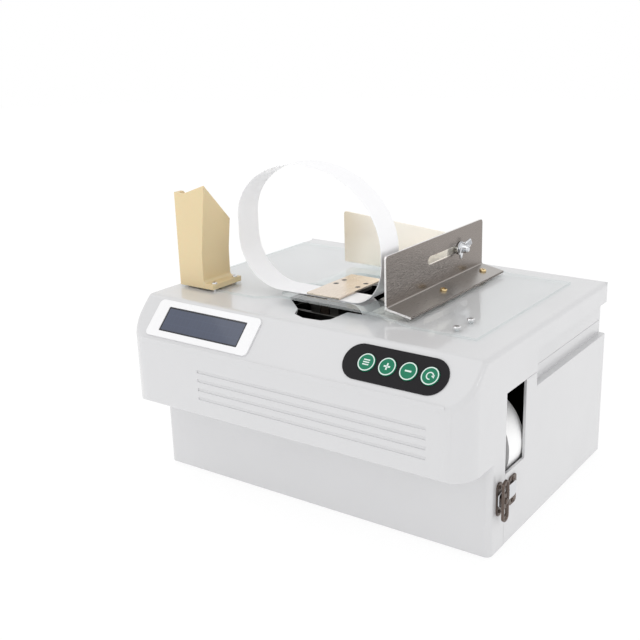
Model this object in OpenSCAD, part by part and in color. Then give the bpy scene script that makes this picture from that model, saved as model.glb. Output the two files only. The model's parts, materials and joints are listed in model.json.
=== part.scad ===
// Desktop tape banding machine: a heat-sealing head under an anvil, fed from a
// tape roll, in a two-part moulded casing with a raised clear table on top.
// X runs to the machine's right, Y to its back and Z up, all in millimetres.

/* [Casing] */
// Width across the side walls
body_w = 380; // [374:1:392]
// Depth from the foot of the front wall to the back wall
body_d = 262; // [258:1:274]
// Height of the deck above the standing surface
deck_h = 192; // [190:1:198]
// How far the upper front stands forward of its foot
nose = 47; // [43:1:50]
// Height of the underside of the upper front
nose_h = 92; // [86:1:98]
// Drop of the panel slope from the deck to the ridge
slope_drop = 36; // [35:0.5:38]
// Tilt of the panel slope from level
slope_angle = 46; // [43:1:49]
// Wall thickness of the mouldings
wall = 3; // [2.5:0.1:3.5]
// Gap along the line where cover and housing part
part_gap = 0.4; // [0.3:0.1:0.6]
// Distance of the upright seam behind the front wall
seam_y = 27; // [26:1:29]
// Height of the parting line along the sides and back
part_h = 150; // [148:1:152]
// Radius of the upright front corners of the nose
nose_corner_r = 25; // [20:1:28]
// Radius of the upright front corners of the foot
foot_corner_r = 6; // [5:1:8]
// Radius along the ridge
ridge_r = 6; // [4:0.5:7]
// Radius along the top of the slope
brow_r = 8; // [5:0.5:9]
// Height of the rubber feet
foot_h = 3; // [3:0.5:6]
// Thickness of the steel base plate
base_t = 2; // [1.5:0.5:3]

/* [Side openings] */
// Length of the tape slot in the right side
slot_len = 40; // [36:1:42]
// Height of the bottom of the tape slot
slot_h = 73; // [70:1:76]
// Depth of the finger recesses under the deck
grip_deep = 7.5; // [6:0.5:8.5]
// Height of the ledge below the finger recess
grip_low = 136; // [134:1:139]
// Height of the lip above the finger recess
grip_high = 171; // [169:1:173]
// Distance of the recess behind the front wall
grip_y = 89; // [86:1:94]

/* [Panel] */
// Width of the display bezel
bezel_w = 127; // [122:1:130]
// Height of the display bezel along the slope
bezel_h = 39; // [37:0.5:40]
// Width of the display window
lcd_w = 98; // [92:1:102]
// Height of the display window along the slope
lcd_h = 26; // [24:0.5:28]
// Middle of the display, left of the machine's middle
lcd_x = 104; // [102:1:108]
// Length of the button panel
keypad_w = 104; // [100:1:106]
// Height of the button panel along the slope
keypad_h = 34; // [32:0.5:35]
// Middle of the button panel, right of the machine's middle
keypad_x = 111.5; // [110:0.5:113]
// Diameter of a button
button_d = 17; // [15:0.5:18]
// Distance between buttons
button_pitch = 21; // [20.5:0.5:22]
// How far a button travels
button_travel = 1; // [0.8:0.1:1.2]

/* [Table] */
// Thickness of the clear table
table_t = 2.5; // [2:0.5:3]
// Rise of the middle of the table above its sides
table_rise = 5.9; // [5.5:0.1:6.3]
// Left end of the table from the machine's middle
table_left = 182; // [180:1:185]
// Right end of the table from the machine's middle
table_right = 160; // [156:1:164]
// Distance of the table's front edge behind the front wall
table_y = 26; // [25:0.5:27]
// Depth of the table
table_d = 206; // [203:1:212]

/* [Fence and stop] */
// Place of the fence right of the machine's middle
fence_x = 58; // [57:0.5:60]
// Distance of the fence's front end behind the front wall
fence_y = 39; // [37:1:41]
// Length of the fence
fence_len = 188; // [184:1:190]
// Height of the fence above the table
fence_h = 50; // [48:1:54]
// Width of the fence's foot
fence_foot = 28; // [26:1:30]
// Thickness of fence and stop plate
sheet_t = 2; // [1.5:0.25:2]
// Height of the slot above the foot of the fence
slot_z = 29; // [27:1:31]
// Length of the slot in the fence
fence_slot = 88; // [84:1:92]
// Width of the slot in the fence
fence_slot_w = 8; // [7.6:0.1:8.4]
// Place of the stop plate behind the front wall
stop_y = 156; // [154:1:158]
// Width of the stop plate
stop_w = 126; // [120:1:130]
// Height of the stop plate at its left end
stop_h = 55; // [52:1:58]

/* [Loop guide] */
// Left end of the guide from the machine's middle
guide_x = 178; // [177:0.5:179]
// Width of the guide at its waist
guide_w = 31.5; // [30:0.5:33]
// Height of the guide above the table
guide_h = 105; // [100:1:110]
// Depth of the guide
guide_d = 42; // [40:1:44]
// Distance of the guide behind the front wall
guide_y = 21; // [20:0.5:22]

/* [Tape and head] */
// Width of the tape
tape_w = 30; // [28:0.5:31]
// Thickness of the tape as modelled
tape_t = 0.4; // [0.3:0.05:0.45]
// Distance of the tape's front edge behind the front wall
tape_y = 42; // [41.5:0.25:43]
// Width of the tape loop
loop_w = 168; // [160:1:170]
// Height of the tape loop
loop_h = 125; // [118:1:132]
// Left end of the tape loop from the machine's middle
loop_left = 115; // [112:1:118]
// Middle of the head, left of the machine's middle
head_x = 14; // [13:0.5:15]
// Width of the anvil
anvil_w = 38; // [36:1:40]
// Length of the anvil
anvil_len = 76; // [72:1:78]
// Travel of the anvil to the back
anvil_back = 31; // [30:0.5:34]
// Lift of the press blocks
press_lift = 3.6; // [3:0.1:3.6]
// Radius of the roll of tape
roll_r = 50; // [44:1:51]
// Radius of the roll's paper core
core_r = 20; // [18:0.5:22]
// Height of the roll's middle
roll_h = 86; // [84:0.5:88]
// Radius of the feed roller
feed_r = 10; // [9:0.5:11]
// Radius of the pinch roller
pinch_r = 7; // [6:0.5:8]

/* [Drive] */
// Radius of the cam shaft
shaft_r = 5; // [4.5:0.1:5.5]
// Height of the cam shaft
shaft_h = 112; // [110:1:114]
// Base radius of a press cam
cam_r = 14; // [13:0.5:15]
// Radius of the head motor's gearbox
gearbox_r = 24; // [22:1:26]
// Width of the fan's frame
fan_w = 60; // [58:1:64]

/* [Hidden] */
$fn = 48;

// Clearances
fit = 0.05;             // radial, shaft in its hole
side_gap = 0.3;         // between pieces that move past each other
screw_fit = 0.15;       // radial, screw in its hole

// Casing
half_w = body_w / 2;
ridge_h = deck_h - slope_drop;
slope_len = slope_drop / sin(slope_angle);
brow_y = slope_len * cos(slope_angle) - nose;
floor_z = foot_h + base_t;
low_edge_r = 3;
back_corner_r = 4;
edge_gap = 0.4;
button_shift = 3.6;
groove_h = 2.5;
groove_deep = 1;
groove_pitch = 9;
groove_count = 4;
groove_left = 98;
groove_right = 152;
groove_top = ridge_h - 19;
foot_r = 9;
foot_inset = 22;
boss_r = 6;
boss_inset = 16;
boss_h = 30;

// Hinges
knuckle_r = 3;
pin_r = 1.5;
hinge_gap = 0.2;
hinge_y = body_d + knuckle_r + hinge_gap;
hinge_x = 110;
hinge_len = 50;
hinge_mid = 16;
leaf_t = 1.2;
leaf_h = 20;
leaf_rise = 4;
web_lift = 0.5;

// Latch on the right side
latch_h = 55;
latch_y = 15;
latch_plate_t = 1.5;
latch_w = 12;
latch_len = 32;
wing_len = 40;
wing_w = 11;
wing_t = 2.5;
wing_stand = 5.5;
link_len = 30;
link_w = 14;
link_pull = 3;
keeper_y = 34;
keeper_len = 14;
keeper_h = 28;
latch_reach = wing_stand + wing_t + 1;

// Panel on the slope
panel_mid = slope_len / 2 + 1.6;
bezel_t = 1.6;
glass_t = 1;
window_lip = 2;
board_t = 1.6;
board_gap = 6;
board_margin = 6;
keypad_t = 1;
button_count = 4;
button_proud = 1;
button_fit = 0.3;
button_flange = 1;
button_r = button_d / 2;
button_flange_r = button_r + 1.1;
board_top = -wall - board_gap;
post_in = 3;                // corner posts from the board's edges
switch_clear = 0.2;
switch_top = -wall - side_gap - button_flange - button_travel - switch_clear;

// Table
table_z = deck_h + table_rise + table_t;
ramp_angle = 10;
ramp_run = table_rise / tan(ramp_angle);
crest_left = 52;
table_screw_r = 2;
table_screws_at = [[132, 42], [132, 68]];
head_r = 3.6;
head_t = 2;
nut_r = 3.8;
nut_t = 2.4;

// Head: places from the tape's own line
tape_mid = tape_y + tape_w / 2;
loop_z = table_z - tape_t;
loop_crown = [77, 57];      // reach and height of the loop's upper left quarter
loop_shoulder_h = 75;       // height of its upper right quarter
loop_heel = [33, 40];       // its lower right quarter
loop_toe = [50, 50];        // its lower left quarter
anvil_t = 1.8;
anvil_z = table_z + 0.4;
anvil_top = anvil_z + anvil_t;
carriage_y = tape_y + 36;
carriage_d = 22;
carriage_w = 20;
carriage_flange = 4;
stem_inset = 5;
rod_r = 4;
rod_z = deck_h - 34;
rod_wall = 5;
rod_bracket_y = carriage_y + carriage_d + anvil_back + 12;
rod_bracket_t = 4;
rod_bracket_w = 28;
rod_bracket_foot = 16;
head_half = 39;
head_plate_t = 3;
head_plate_d = 46;
head_top = deck_h - 8;
guide_bar_t = 4;
guide_bar_h = 20;
block_w = 10;
block_d = tape_w - 4;
block_gap = 1;
web_gap = 0.8;              // from the loop above it down to the web's middle
web_clear = 0.6;
block_top = loop_z - web_gap - web_clear - press_lift;
cam_gap = 0.5;
cam_w = 7;
window_gap = 2;
window_left = 62;
window_shoulder = tape_y + tape_w + 28;
window_end = carriage_y + carriage_d + anvil_back + window_gap;
head_left = -head_x - head_half;
head_right = -head_x + head_half;
web_x = head_right + head_plate_t + 4;

// Drive
bush_r = shaft_r + 3;
bush_flange = 2;
bush_places = [[head_left - head_plate_t, head_left], [head_right, head_right - bush_flange]];
coupling_r = 8;
coupling_len = 12;
motor_face = head_left - head_plate_t - coupling_len - 4;
motor_plate_half = 28;
motor_foot = 40;
motor_back = motor_face - head_plate_t;
motor_stub = 0.7;
gearbox_len = 45;
motor_can_r = 19;
motor_can_len = 42;
feed_x = 61;
feed_half = 15;
feed_plate_t = 3;
feed_shaft_r = 3;
feed_motor_r = 14;
feed_motor_len = 48;
feed_face = tape_w / 2 + 4;
feed_front = tape_mid - feed_face - feed_plate_t;
feed_rear = tape_mid + feed_face + feed_plate_t;
nip_z = roll_h + roll_r + tape_t;
nip_gap = 0.25;
feed_h = nip_z - tape_t / 2 - nip_gap - feed_r;
pinch_h = nip_z + tape_t / 2 + nip_gap + pinch_r;

// Roll of tape
roll_gap = 0.6;
roll_x = half_w - wall - roll_gap - roll_r;
core_t = 2.4;
spindle_r = 6;
hub_r = core_r - core_t - fit;
hub_flange_r = core_r + 10;
hub_flange_t = 2;
spindle_plate_w = 44;
spindle_plate_t = 3;
spindle_foot = 22;
roll_back = tape_y + tape_w;

// Electrics
psu = [90, 80, 52];
psu_at = [14 - half_w, 160];
pcb = [96, 90];
pcb_at = [20, 132];
pcb_stand = 8;
relay = [32, 30, 14];
relay_at = [12, 14];
choke = [28, 14, 22];
choke_at = [56, 20];
fan_t = 15;
fan_x = -20;
fan_z = 50;
fan_hub_r = 12;
fan_blades = 7;
blade_pitch = 35;
inlet = [27, 20];
inlet_deep = 22;
socket_deep = 15;
inlet_x = -110;
socket_z = 90;
switch_size = [19, 13];
switch_x = -150;
switch_tilt = 8;
rocker_back = 1.5;
rocker_pin_r = 1.2;
flange_t = 1.6;

// Fence and stop
fence_top = table_z + fence_h;
slot_mid_z = table_z + slot_z;
slot_back_gap = 25;
slot_start = fence_y + fence_len - slot_back_gap - fence_slot;
fence_screw_y = [84, 167];
fence_screw_out = 14;
stop_low = anvil_top + 0.4;
stop_drop = 9;
stop_tab = 34;
stop_tab_h = 24;
thumb_y = stop_y + 21.5;
thumb_r = 3;
stop_right = fence_x - side_gap;

// Guide
table_flat = deck_h + table_t;
guide_flare = 12.5;
guide_lean = 8.5;
guide_foot_t = 5;
guide_foot_d = guide_d;
guide_block_d = guide_d - 2;
guide_slant = 45;
guide_skin = 3;
guide_screw_x = guide_x - guide_w - 9;
guide_screw_r = 1.6;
guide_screw_head = 2.8;

// Outline helpers: a corner given as [x, y, radius] becomes an arc
function unit(v) = v / norm(v);
function turn(a) = a > 180 ? a - 360 : a < -180 ? a + 360 : a;
function corner(before, at, after, r, steps) =
    let (u = unit(before - at), v = unit(after - at), half = acos(u * v) / 2)
    let (centre = at + unit(u + v) * r / sin(half), reach = r / tan(half))
    let (from = at + u * reach - centre, to = at + v * reach - centre)
    let (start = atan2(from.y, from.x), sweep = turn(atan2(to.y, to.x) - start))
    r <= 0 ? [at] : [
        for (i = [0:steps]) let (a = start + sweep * i / steps) centre + r * [cos(a), sin(a)]
    ];
function flat(p) = [p.x, p.y];
function rounded(points, steps = 8) = let (n = len(points)) [
    for (i = [0:n - 1])
        let (before = points[(i + n - 1) % n], at = points[i], after = points[(i + 1) % n])
            each corner(flat(before), flat(at), flat(after), at.z, steps)
];
function rounded_line(points, steps = 8) = let (n = len(points)) [
    for (i = [0:n - 1])
        each i == 0 || i == n - 1 ? [flat(points[i])]
            : corner(flat(points[i - 1]), flat(points[i]), flat(points[i + 1]), points[i].z, steps)
];
function reversed(points) = [for (i = [len(points) - 1:-1:0]) points[i]];
function side_of(points, i) = let (n = len(points), d = points[min(i + 1, n - 1)] - points[max(i - 1, 0)])
    unit([-d.y, d.x]);
function strip(points, t) = concat(
    [for (i = [0:len(points) - 1]) points[i] + side_of(points, i) * t / 2],
    reversed([for (i = [0:len(points) - 1]) points[i] - side_of(points, i) * t / 2])
);

// Placing helpers
// Moves the machine so that the origin is under the middle of its outline
module in_frame()
    translate([-latch_reach / 2, (nose - hinge_y - knuckle_r) / 2, 0]) children();
// A box between two limits on each axis
module span(x, y, z)
    translate([x[0], y[0], z[0]]) cube([x[1] - x[0], y[1] - y[0], z[1] - z[0]]);
// Extrudes an outline drawn in Y and Z along X
module across(x0, x1)
    translate([x0, 0, 0]) rotate([90, 0, 90]) linear_extrude(x1 - x0) children();
// Extrudes an outline drawn in X and Z along Y
module along(y0, y1)
    translate([0, y1, 0]) rotate([90, 0, 0]) linear_extrude(y1 - y0) children();
// A rod along X, Y or Z between two limits
module rod_x(x0, x1, y, z, r) translate([x0, y, z]) rotate([0, 90, 0]) cylinder(r = r, h = x1 - x0);
module rod_y(x, y0, y1, z, r) translate([x, y1, z]) rotate([90, 0, 0]) cylinder(r = r, h = y1 - y0);
module rod_z(x, y, z0, z1, r) translate([x, y, z0]) cylinder(r = r, h = z1 - z0);
// Stands children on the panel slope: local Y runs up it and local Z out of it
module on_slope(x, up = panel_mid)
    translate([x, -nose, ridge_h]) rotate([slope_angle, 0, 0]) translate([0, up, 0]) children();
// A plate with rounded corners, lying in local X and Y about the origin
module round_plate(w, h, r, z0, z1)
    translate([0, 0, z0]) linear_extrude(z1 - z0)
        polygon(rounded([[-w / 2, -h / 2, r], [w / 2, -h / 2, r], [w / 2, h / 2, r], [-w / 2, h / 2, r]]));
module screw_at(x, y, top, length, r = table_screw_r, head = head_r, t = head_t) {
    rod_z(x, y, top, top + t, head);
    rod_z(x, y, top - length, top + t / 2, r);
}

// Casing
function nose_outline(t) = rounded([
    [-nose + t, nose_h + t, low_edge_r],
    [-nose + t, ridge_h - t * (1 - sin(slope_angle)) / cos(slope_angle), ridge_r],
    [brow_y + t * (1 - cos(slope_angle)) / sin(slope_angle), deck_h - t, brow_r],
    [body_d - t, deck_h - t, low_edge_r],
    [body_d - t, nose_h + t, 0]
]);
module plan(t, front, r, z0, z1)
    translate([0, 0, z0]) linear_extrude(z1 - z0) polygon(rounded([
        [-half_w + t, front + t, r - t],
        [half_w - t, front + t, r - t],
        [half_w - t, body_d - t, back_corner_r],
        [-half_w + t, body_d - t, back_corner_r]
    ]));
module grips(t)
    for (side = [-1, 1]) scale([side, 1, 1])
        span([half_w - grip_deep - t, half_w + 1], [grip_y - t, body_d + 1], [grip_low - t, grip_high + t]);
module casing_solid(t, low)
    difference() {
        union() {
            intersection() {
                across(-half_w, half_w) polygon(nose_outline(t));
                plan(t, -nose, nose_corner_r, nose_h, deck_h);
            }
            plan(t, 0, foot_corner_r, low, nose_h + 2 * wall);
        }
        grips(t);
    }
module casing_shell()
    difference() {
        casing_solid(0, foot_h);
        casing_solid(wall, foot_h - 1);
    }
module cover_zone()
    across(-half_w - 1, half_w + 1) polygon([
        [-nose - 1, 0], [seam_y, 0], [seam_y, part_h],
        [body_d + 1, part_h], [body_d + 1, deck_h + 1], [-nose - 1, deck_h + 1]
    ]);
module housing_zone()
    span([-half_w - 1, half_w + 1], [seam_y + part_gap, body_d + 1], [0, part_h - part_gap]);
// Opening in the deck for the head
module deck_hole()
    translate([0, 0, deck_h - 2 * wall]) linear_extrude(3 * wall) polygon(rounded([
        [-58, 47, 1], [-29, 22, 3], [-22, 8, 1], [-8, 2, 4], [11, 4, 3], [17, 11, 3], [18, 37, 1],
        [web_x + window_gap + 2, 38, 2],
        [web_x + window_gap + 2, window_shoulder, 6],
        [-head_x + anvil_w / 2 + 4, window_end, 8],
        [-head_x - anvil_w / 2 - 3, window_end, 6],
        [-58, roll_back + window_gap + 6, 6]
    ]));
module upper_cover()
    color("whitesmoke") in_frame() difference() {
        intersection() { casing_shell(); cover_zone(); }
        for (i = [0:groove_count - 1])
            span([-groove_left, groove_right], [-nose - 1, -nose + groove_deep],
                [groove_top - groove_pitch * i - groove_h / 2, groove_top - groove_pitch * i + groove_h / 2]);
        deck_hole();
        on_slope(-lcd_x) round_plate(lcd_w - 2 * window_lip, lcd_h - 2 * window_lip, 1, -2 * wall, wall);
        for (i = [0:button_count - 1])
            on_slope(button_x(i)) rod_z(0, 0, -2 * wall, wall, button_r + button_fit);
        for (p = table_screws_at) rod_z(p.x, p.y, deck_h - 2 * wall, deck_h + 1, table_screw_r + screw_fit);
        for (y = guide_screw_y())
            rod_z(-guide_screw_x, y, deck_h - 2 * wall, deck_h + 1, guide_screw_r + screw_fit);
    }
function button_x(i) = keypad_x + button_shift + (i - (button_count - 1) / 2) * button_pitch;
function guide_screw_y() = [guide_y + 6, guide_y + guide_foot_d - 6];

module rear_housing()
    color("whitesmoke") in_frame() difference() {
        union() {
            intersection() { casing_shell(); housing_zone(); }
            for (x = [-1, 1], y = [seam_y + boss_inset, body_d - boss_inset]) {
                rod_z(x * (half_w - boss_inset), y, floor_z, floor_z + boss_h, boss_r);
                let (near = half_w - boss_inset, far = half_w - wall / 2)
                    span(x > 0 ? [near, far] : [-far, -near], [y - wall / 2, y + wall / 2],
                        [floor_z, floor_z + boss_h]);
            }
        }
        for (x = [-1, 1], y = [seam_y + boss_inset, body_d - boss_inset])
            rod_z(x * (half_w - boss_inset), y, floor_z - 1, floor_z + boss_h - 4, table_screw_r + screw_fit);
        span([half_w - 2 * wall, half_w + 1], [seam_y, seam_y + slot_len], [slot_h, part_h + 1]);
        span([inlet_x - inlet.x / 2, inlet_x + inlet.x / 2], [body_d - 2 * wall, body_d + 1],
            [socket_z - inlet.y / 2, socket_z + inlet.y / 2]);
        span([switch_x - switch_size.x / 2, switch_x + switch_size.x / 2], [body_d - 2 * wall, body_d + 1],
            [socket_z - switch_size.y / 2, socket_z + switch_size.y / 2]);
        for (i = [-2:2])
            span([fan_x - fan_w * 0.36, fan_x + fan_w * 0.36], [body_d - 2 * wall, body_d + 1],
                [fan_z + i * 9 - 2.5, fan_z + i * 9 + 2.5]);
    }

module base_plate()
    color("silver") in_frame() difference() {
        plan(wall + edge_gap, 0, foot_corner_r, foot_h, floor_z);
        for (x = [-1, 1], y = [seam_y + boss_inset, body_d - boss_inset])
            rod_z(x * (half_w - boss_inset), y, 0, floor_z + 1, table_screw_r + screw_fit);
    }

module rubber_feet()
    color("dimgray") in_frame()
        for (x = [-1, 1], y = [foot_inset + 18, body_d - foot_inset - 18])
            rod_z(x * (half_w - foot_inset - 20), y, 0, foot_h, foot_r);

module frame_screws()
    color("gray") in_frame()
        for (x = [-1, 1], y = [seam_y + boss_inset, body_d - boss_inset]) {
            rod_z(x * (half_w - boss_inset), y, foot_h - head_t / 2, foot_h, head_r);
            rod_z(x * (half_w - boss_inset), y, foot_h - head_t / 2, floor_z + boss_h / 2, table_screw_r);
        }

// Hinges on the back
module hinge_barrel(x0, x1)
    difference() {
        rod_x(x0, x1, hinge_y, part_h, knuckle_r);
        rod_x(x0 - 1, x1 + 1, hinge_y, part_h, pin_r + fit);
    }
function web_span(side, near, far) = side > 0 ? [part_h + near, part_h + far] : [part_h - far, part_h - near];
module hinge_web(x0, x1, side)
    difference() {
        span([x0, x1], [body_d, hinge_y], web_span(side, web_lift, leaf_rise));
        rod_x(x0 - 1, x1 + 1, hinge_y, part_h, pin_r + fit);
        span([x0 - 1, x1 + 1], [body_d + leaf_t, hinge_y + 1], web_span(side, knuckle_r, leaf_rise + 1));
    }
module cover_hinges()
    color("silver") in_frame() for (x = [-hinge_x, hinge_x]) {
        hinge_barrel(x - hinge_mid / 2, x + hinge_mid / 2);
        hinge_web(x - hinge_mid / 2, x + hinge_mid / 2, 1);
        span([x - hinge_len / 2, x + hinge_len / 2], [body_d, body_d + leaf_t],
            [part_h + leaf_rise, part_h + leaf_rise + leaf_h]);
    }
module housing_hinges()
    color("silver") in_frame() for (x = [-hinge_x, hinge_x]) {
        for (side = [-1, 1]) let (inner = hinge_mid / 2 + hinge_gap, outer = hinge_len / 2)
            let (x0 = side > 0 ? x + inner : x - outer, x1 = side > 0 ? x + outer : x - inner) {
                hinge_barrel(x0, x1);
                hinge_web(x0, x1, -1);
            }
        span([x - hinge_len / 2, x + hinge_len / 2], [body_d, body_d + leaf_t],
            [part_h - leaf_rise - leaf_h, part_h - leaf_rise]);
    }
module hinge_pins()
    color("gray") in_frame() for (x = [-hinge_x, hinge_x])
        rod_x(x - hinge_len / 2, x + hinge_len / 2, hinge_y, part_h, pin_r);

// Draw latch on the right side
module latch_base()
    color("dimgray") in_frame() {
        span([half_w, half_w + latch_plate_t], [latch_y - latch_w / 2 + 1, latch_y + latch_w / 2 - 1],
            [latch_h - latch_len / 2, latch_h + latch_len / 2]);
        rod_x(half_w, half_w + wing_stand - side_gap, latch_y, latch_h, 3);
    }
module latch_wing()
    color("gray") in_frame() difference() {
        union() {
            translate([half_w + wing_stand, latch_y, latch_h]) rotate([90, 0, 90])
                round_plate(wing_w, wing_len, wing_w / 2 - 0.1, 0, wing_t);
            rod_x(half_w + wing_stand, half_w + wing_stand + wing_t + 1, latch_y, latch_h, 3.5);
        }
        rod_x(half_w, half_w + latch_reach + 1, latch_y, latch_h + wing_len / 2 - 10, 2);
    }
module latch_link()
    color("silver") in_frame() difference() {
        union() {
            span([half_w + latch_plate_t + side_gap, half_w + latch_plate_t + side_gap + 1.5],
                [latch_y - 5, latch_y + link_len], [latch_h - link_w / 2, latch_h + link_w / 2]);
        }
        span([half_w, half_w + latch_reach], [latch_y - 3 - side_gap - link_pull, latch_y + 3 + side_gap],
            [latch_h - 3 - side_gap, latch_h + 3 + side_gap]);
    }
module latch_keeper()
    color("dimgray") in_frame() difference() {
        translate([half_w, keeper_y + keeper_len / 2, latch_h - 2]) rotate([90, 0, 90])
            round_plate(keeper_len, keeper_h, 3, 0, latch_plate_t);
        rod_x(half_w - 1, half_w + 2 * latch_plate_t, keeper_y + keeper_len - 5, latch_h, 2);
    }

// Panel
module display_bezel()
    color("white") in_frame() on_slope(-lcd_x) difference() {
        round_plate(bezel_w, bezel_h, 5, 0, bezel_t);
        round_plate(lcd_w + 2 * fit, lcd_h + 2 * fit, 1, -1, bezel_t + 1);
    }
module display_glass()
    color("slategray") in_frame() on_slope(-lcd_x) round_plate(lcd_w, lcd_h, 1, 0, glass_t);
module display_board()
    color("darkgreen") in_frame() on_slope(-lcd_x) {
        round_plate(lcd_w + board_margin, lcd_h + board_margin, 1, board_top - board_t, board_top);
        round_plate(lcd_w - 2 * window_lip - 2, lcd_h - 2 * window_lip - 2, 1, board_top, -wall / 2);
        for (x = [-1, 1], y = [-1, 1])
            rod_z(x * ((lcd_w + board_margin) / 2 - post_in), y * ((lcd_h + board_margin) / 2 - post_in),
                board_top, -wall, 2);
    }
module keypad_panel()
    color("black") in_frame() difference() {
        on_slope(keypad_x) round_plate(keypad_w, keypad_h, keypad_h / 2 - 0.1, 0, keypad_t);
        for (i = [0:button_count - 1])
            on_slope(button_x(i)) rod_z(0, 0, -1, keypad_t + 1, button_r + button_fit);
    }
module keypad_board()
    color("darkgreen") in_frame() {
        on_slope(keypad_x) round_plate(keypad_w - 4, keypad_h - 6, 2, board_top - board_t, board_top);
        for (i = [0:button_count - 1])
            on_slope(button_x(i)) rod_z(0, 0, board_top, switch_top, 3);
        for (i = [0:button_count])
            on_slope(button_x(i - 0.5)) for (y = [-1, 1])
                rod_z(0, y * (keypad_h / 2 - 5), board_top, -wall, 1.5);
    }
module push_button(i)
    color("seagreen") in_frame() on_slope(button_x(i)) {
        rod_z(0, 0, -wall - side_gap, keypad_t + button_proud, button_r);
        rod_z(0, 0, -wall - side_gap - button_flange, -wall - side_gap, button_flange_r);
    }

// Clear table with a raised middle
function table_line(up) = [
    [-table_left, deck_h + up], [-crest_left - ramp_run, deck_h + up],
    [-crest_left, deck_h + table_rise + up], [fence_x, deck_h + table_rise + up],
    [fence_x + ramp_run, deck_h + up], [table_right, deck_h + up]
];
module table_window()
    translate([0, 0, deck_h - 1]) linear_extrude(table_rise + 2 * table_t + 2) polygon(rounded([
        [-window_left, tape_y - 4, 3],
        [web_x + window_gap + 2, tape_y - 4, 3],
        [web_x + window_gap + 2, window_shoulder, 10],
        [-head_x + anvil_w / 2 + 4, window_end, 8],
        [-head_x - anvil_w / 2 - 3, window_end, 6],
        [-head_x - anvil_w / 2 - 3, roll_back + 4, 1],
        [-window_left, roll_back + 4, 3]
    ]));
module clear_table()
    color([0.85, 0.93, 0.97, 0.4]) in_frame() difference() {
        along(table_y, table_y + table_d) polygon(concat(table_line(0), reversed(table_line(table_t))));
        table_window();
        for (p = table_screws_at)
            rod_z(p.x, p.y, deck_h - 1, deck_h + table_t + 1, table_screw_r + screw_fit);
        for (y = guide_screw_y())
            rod_z(-guide_screw_x, y, deck_h - 1, deck_h + table_t + 1, guide_screw_r + screw_fit);
        fence_screw_places() rod_z(0, 0, -12, 4, table_screw_r + screw_fit);
    }
module table_screws()
    color("silver") in_frame() {
        for (p = table_screws_at) {
            screw_at(p.x, p.y, deck_h + table_t, table_t + wall + nut_t);
            rod_z(p.x, p.y, deck_h - wall - nut_t, deck_h - wall, nut_r);
        }
        guide_screws();
    }
module guide_screws()
    for (y = guide_screw_y()) {
        screw_at(-guide_screw_x, y, deck_h + table_t + guide_foot_t, guide_foot_t + table_t + wall + nut_t,
            guide_screw_r, guide_screw_head, 1.6);
        rod_z(-guide_screw_x, y, deck_h - wall - nut_t, deck_h - wall, 3);
    }

// Fence, stop plate and thumb screw
module fence_screw_places()
    for (y = fence_screw_y)
        translate([fence_x, fence_y + y, table_z]) rotate([0, ramp_angle, 0])
            translate([fence_screw_out, 0, sheet_t]) children();
module fence()
    color("lightgray") in_frame() difference() {
        union() {
            across(fence_x, fence_x + sheet_t) polygon(rounded([
                [fence_y, table_z, 0], [fence_y, fence_top, 3],
                [fence_y + fence_len, fence_top, 4], [fence_y + fence_len, table_z, 0]
            ]));
            along(fence_y, fence_y + fence_len) polygon([
                [fence_x, table_z], [fence_x + fence_foot, table_z - fence_foot * tan(ramp_angle)],
                [fence_x + fence_foot, table_z - fence_foot * tan(ramp_angle) + sheet_t],
                [fence_x, table_z + sheet_t]
            ]);
        }
        span([fence_x - 1, fence_x + sheet_t + 1],
            [slot_start + fence_slot_w / 2, slot_start + fence_slot - fence_slot_w / 2],
            [slot_mid_z - fence_slot_w / 2, slot_mid_z + fence_slot_w / 2]);
        for (y = [slot_start + fence_slot_w / 2, slot_start + fence_slot - fence_slot_w / 2])
            rod_x(fence_x - 1, fence_x + sheet_t + 1, y, slot_mid_z, fence_slot_w / 2);
        fence_screw_places() rod_z(0, 0, -12, 4, table_screw_r + screw_fit);
    }
module fence_screws()
    color("goldenrod") in_frame() fence_screw_places() {
        rod_z(0, 0, 0.1, head_t, head_r);
        rod_z(0, 0, -sheet_t - table_t - nut_t - 0.3, 0.5, table_screw_r);
        rod_z(0, 0, -sheet_t - table_t - nut_t - 0.3, -sheet_t - table_t - 0.1, nut_r);
    }
module stop_plate()
    color("gainsboro") in_frame() difference() {
        union() {
            along(stop_y, stop_y + sheet_t) polygon(rounded([
                [stop_right - stop_w, stop_low, 2], [stop_right, stop_low, 2],
                [stop_right, stop_low + stop_h - stop_drop, 4], [stop_right - stop_w, stop_low + stop_h, 3]
            ]));
            across(stop_right - sheet_t, stop_right) polygon(rounded([
                [stop_y, slot_mid_z - stop_tab_h / 2, 0], [stop_y + stop_tab, slot_mid_z - stop_tab_h / 2, 4],
                [stop_y + stop_tab, slot_mid_z + stop_tab_h / 2, 4], [stop_y, slot_mid_z + stop_tab_h / 2, 0]
            ]));
        }
        rod_x(stop_right - sheet_t - 1, stop_right + 1, thumb_y, slot_mid_z, thumb_r + fit);
    }
module thumb_screw()
    color("silver") in_frame() let (face = fence_x + sheet_t + side_gap) {
        rod_x(stop_right - sheet_t - 6, face + 10, thumb_y, slot_mid_z, thumb_r);
        rod_x(face, face + 1.5, thumb_y, slot_mid_z, 7);
        rod_x(face + 1.5, face + 10, thumb_y, slot_mid_z, 5);
        rod_x(stop_right - sheet_t - 4, stop_right - sheet_t - side_gap, thumb_y, slot_mid_z, 5);
        translate([face + 3, thumb_y, slot_mid_z]) rotate([90, 0, 90]) round_plate(28, 9, 4, 0, 3);
    }

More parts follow.
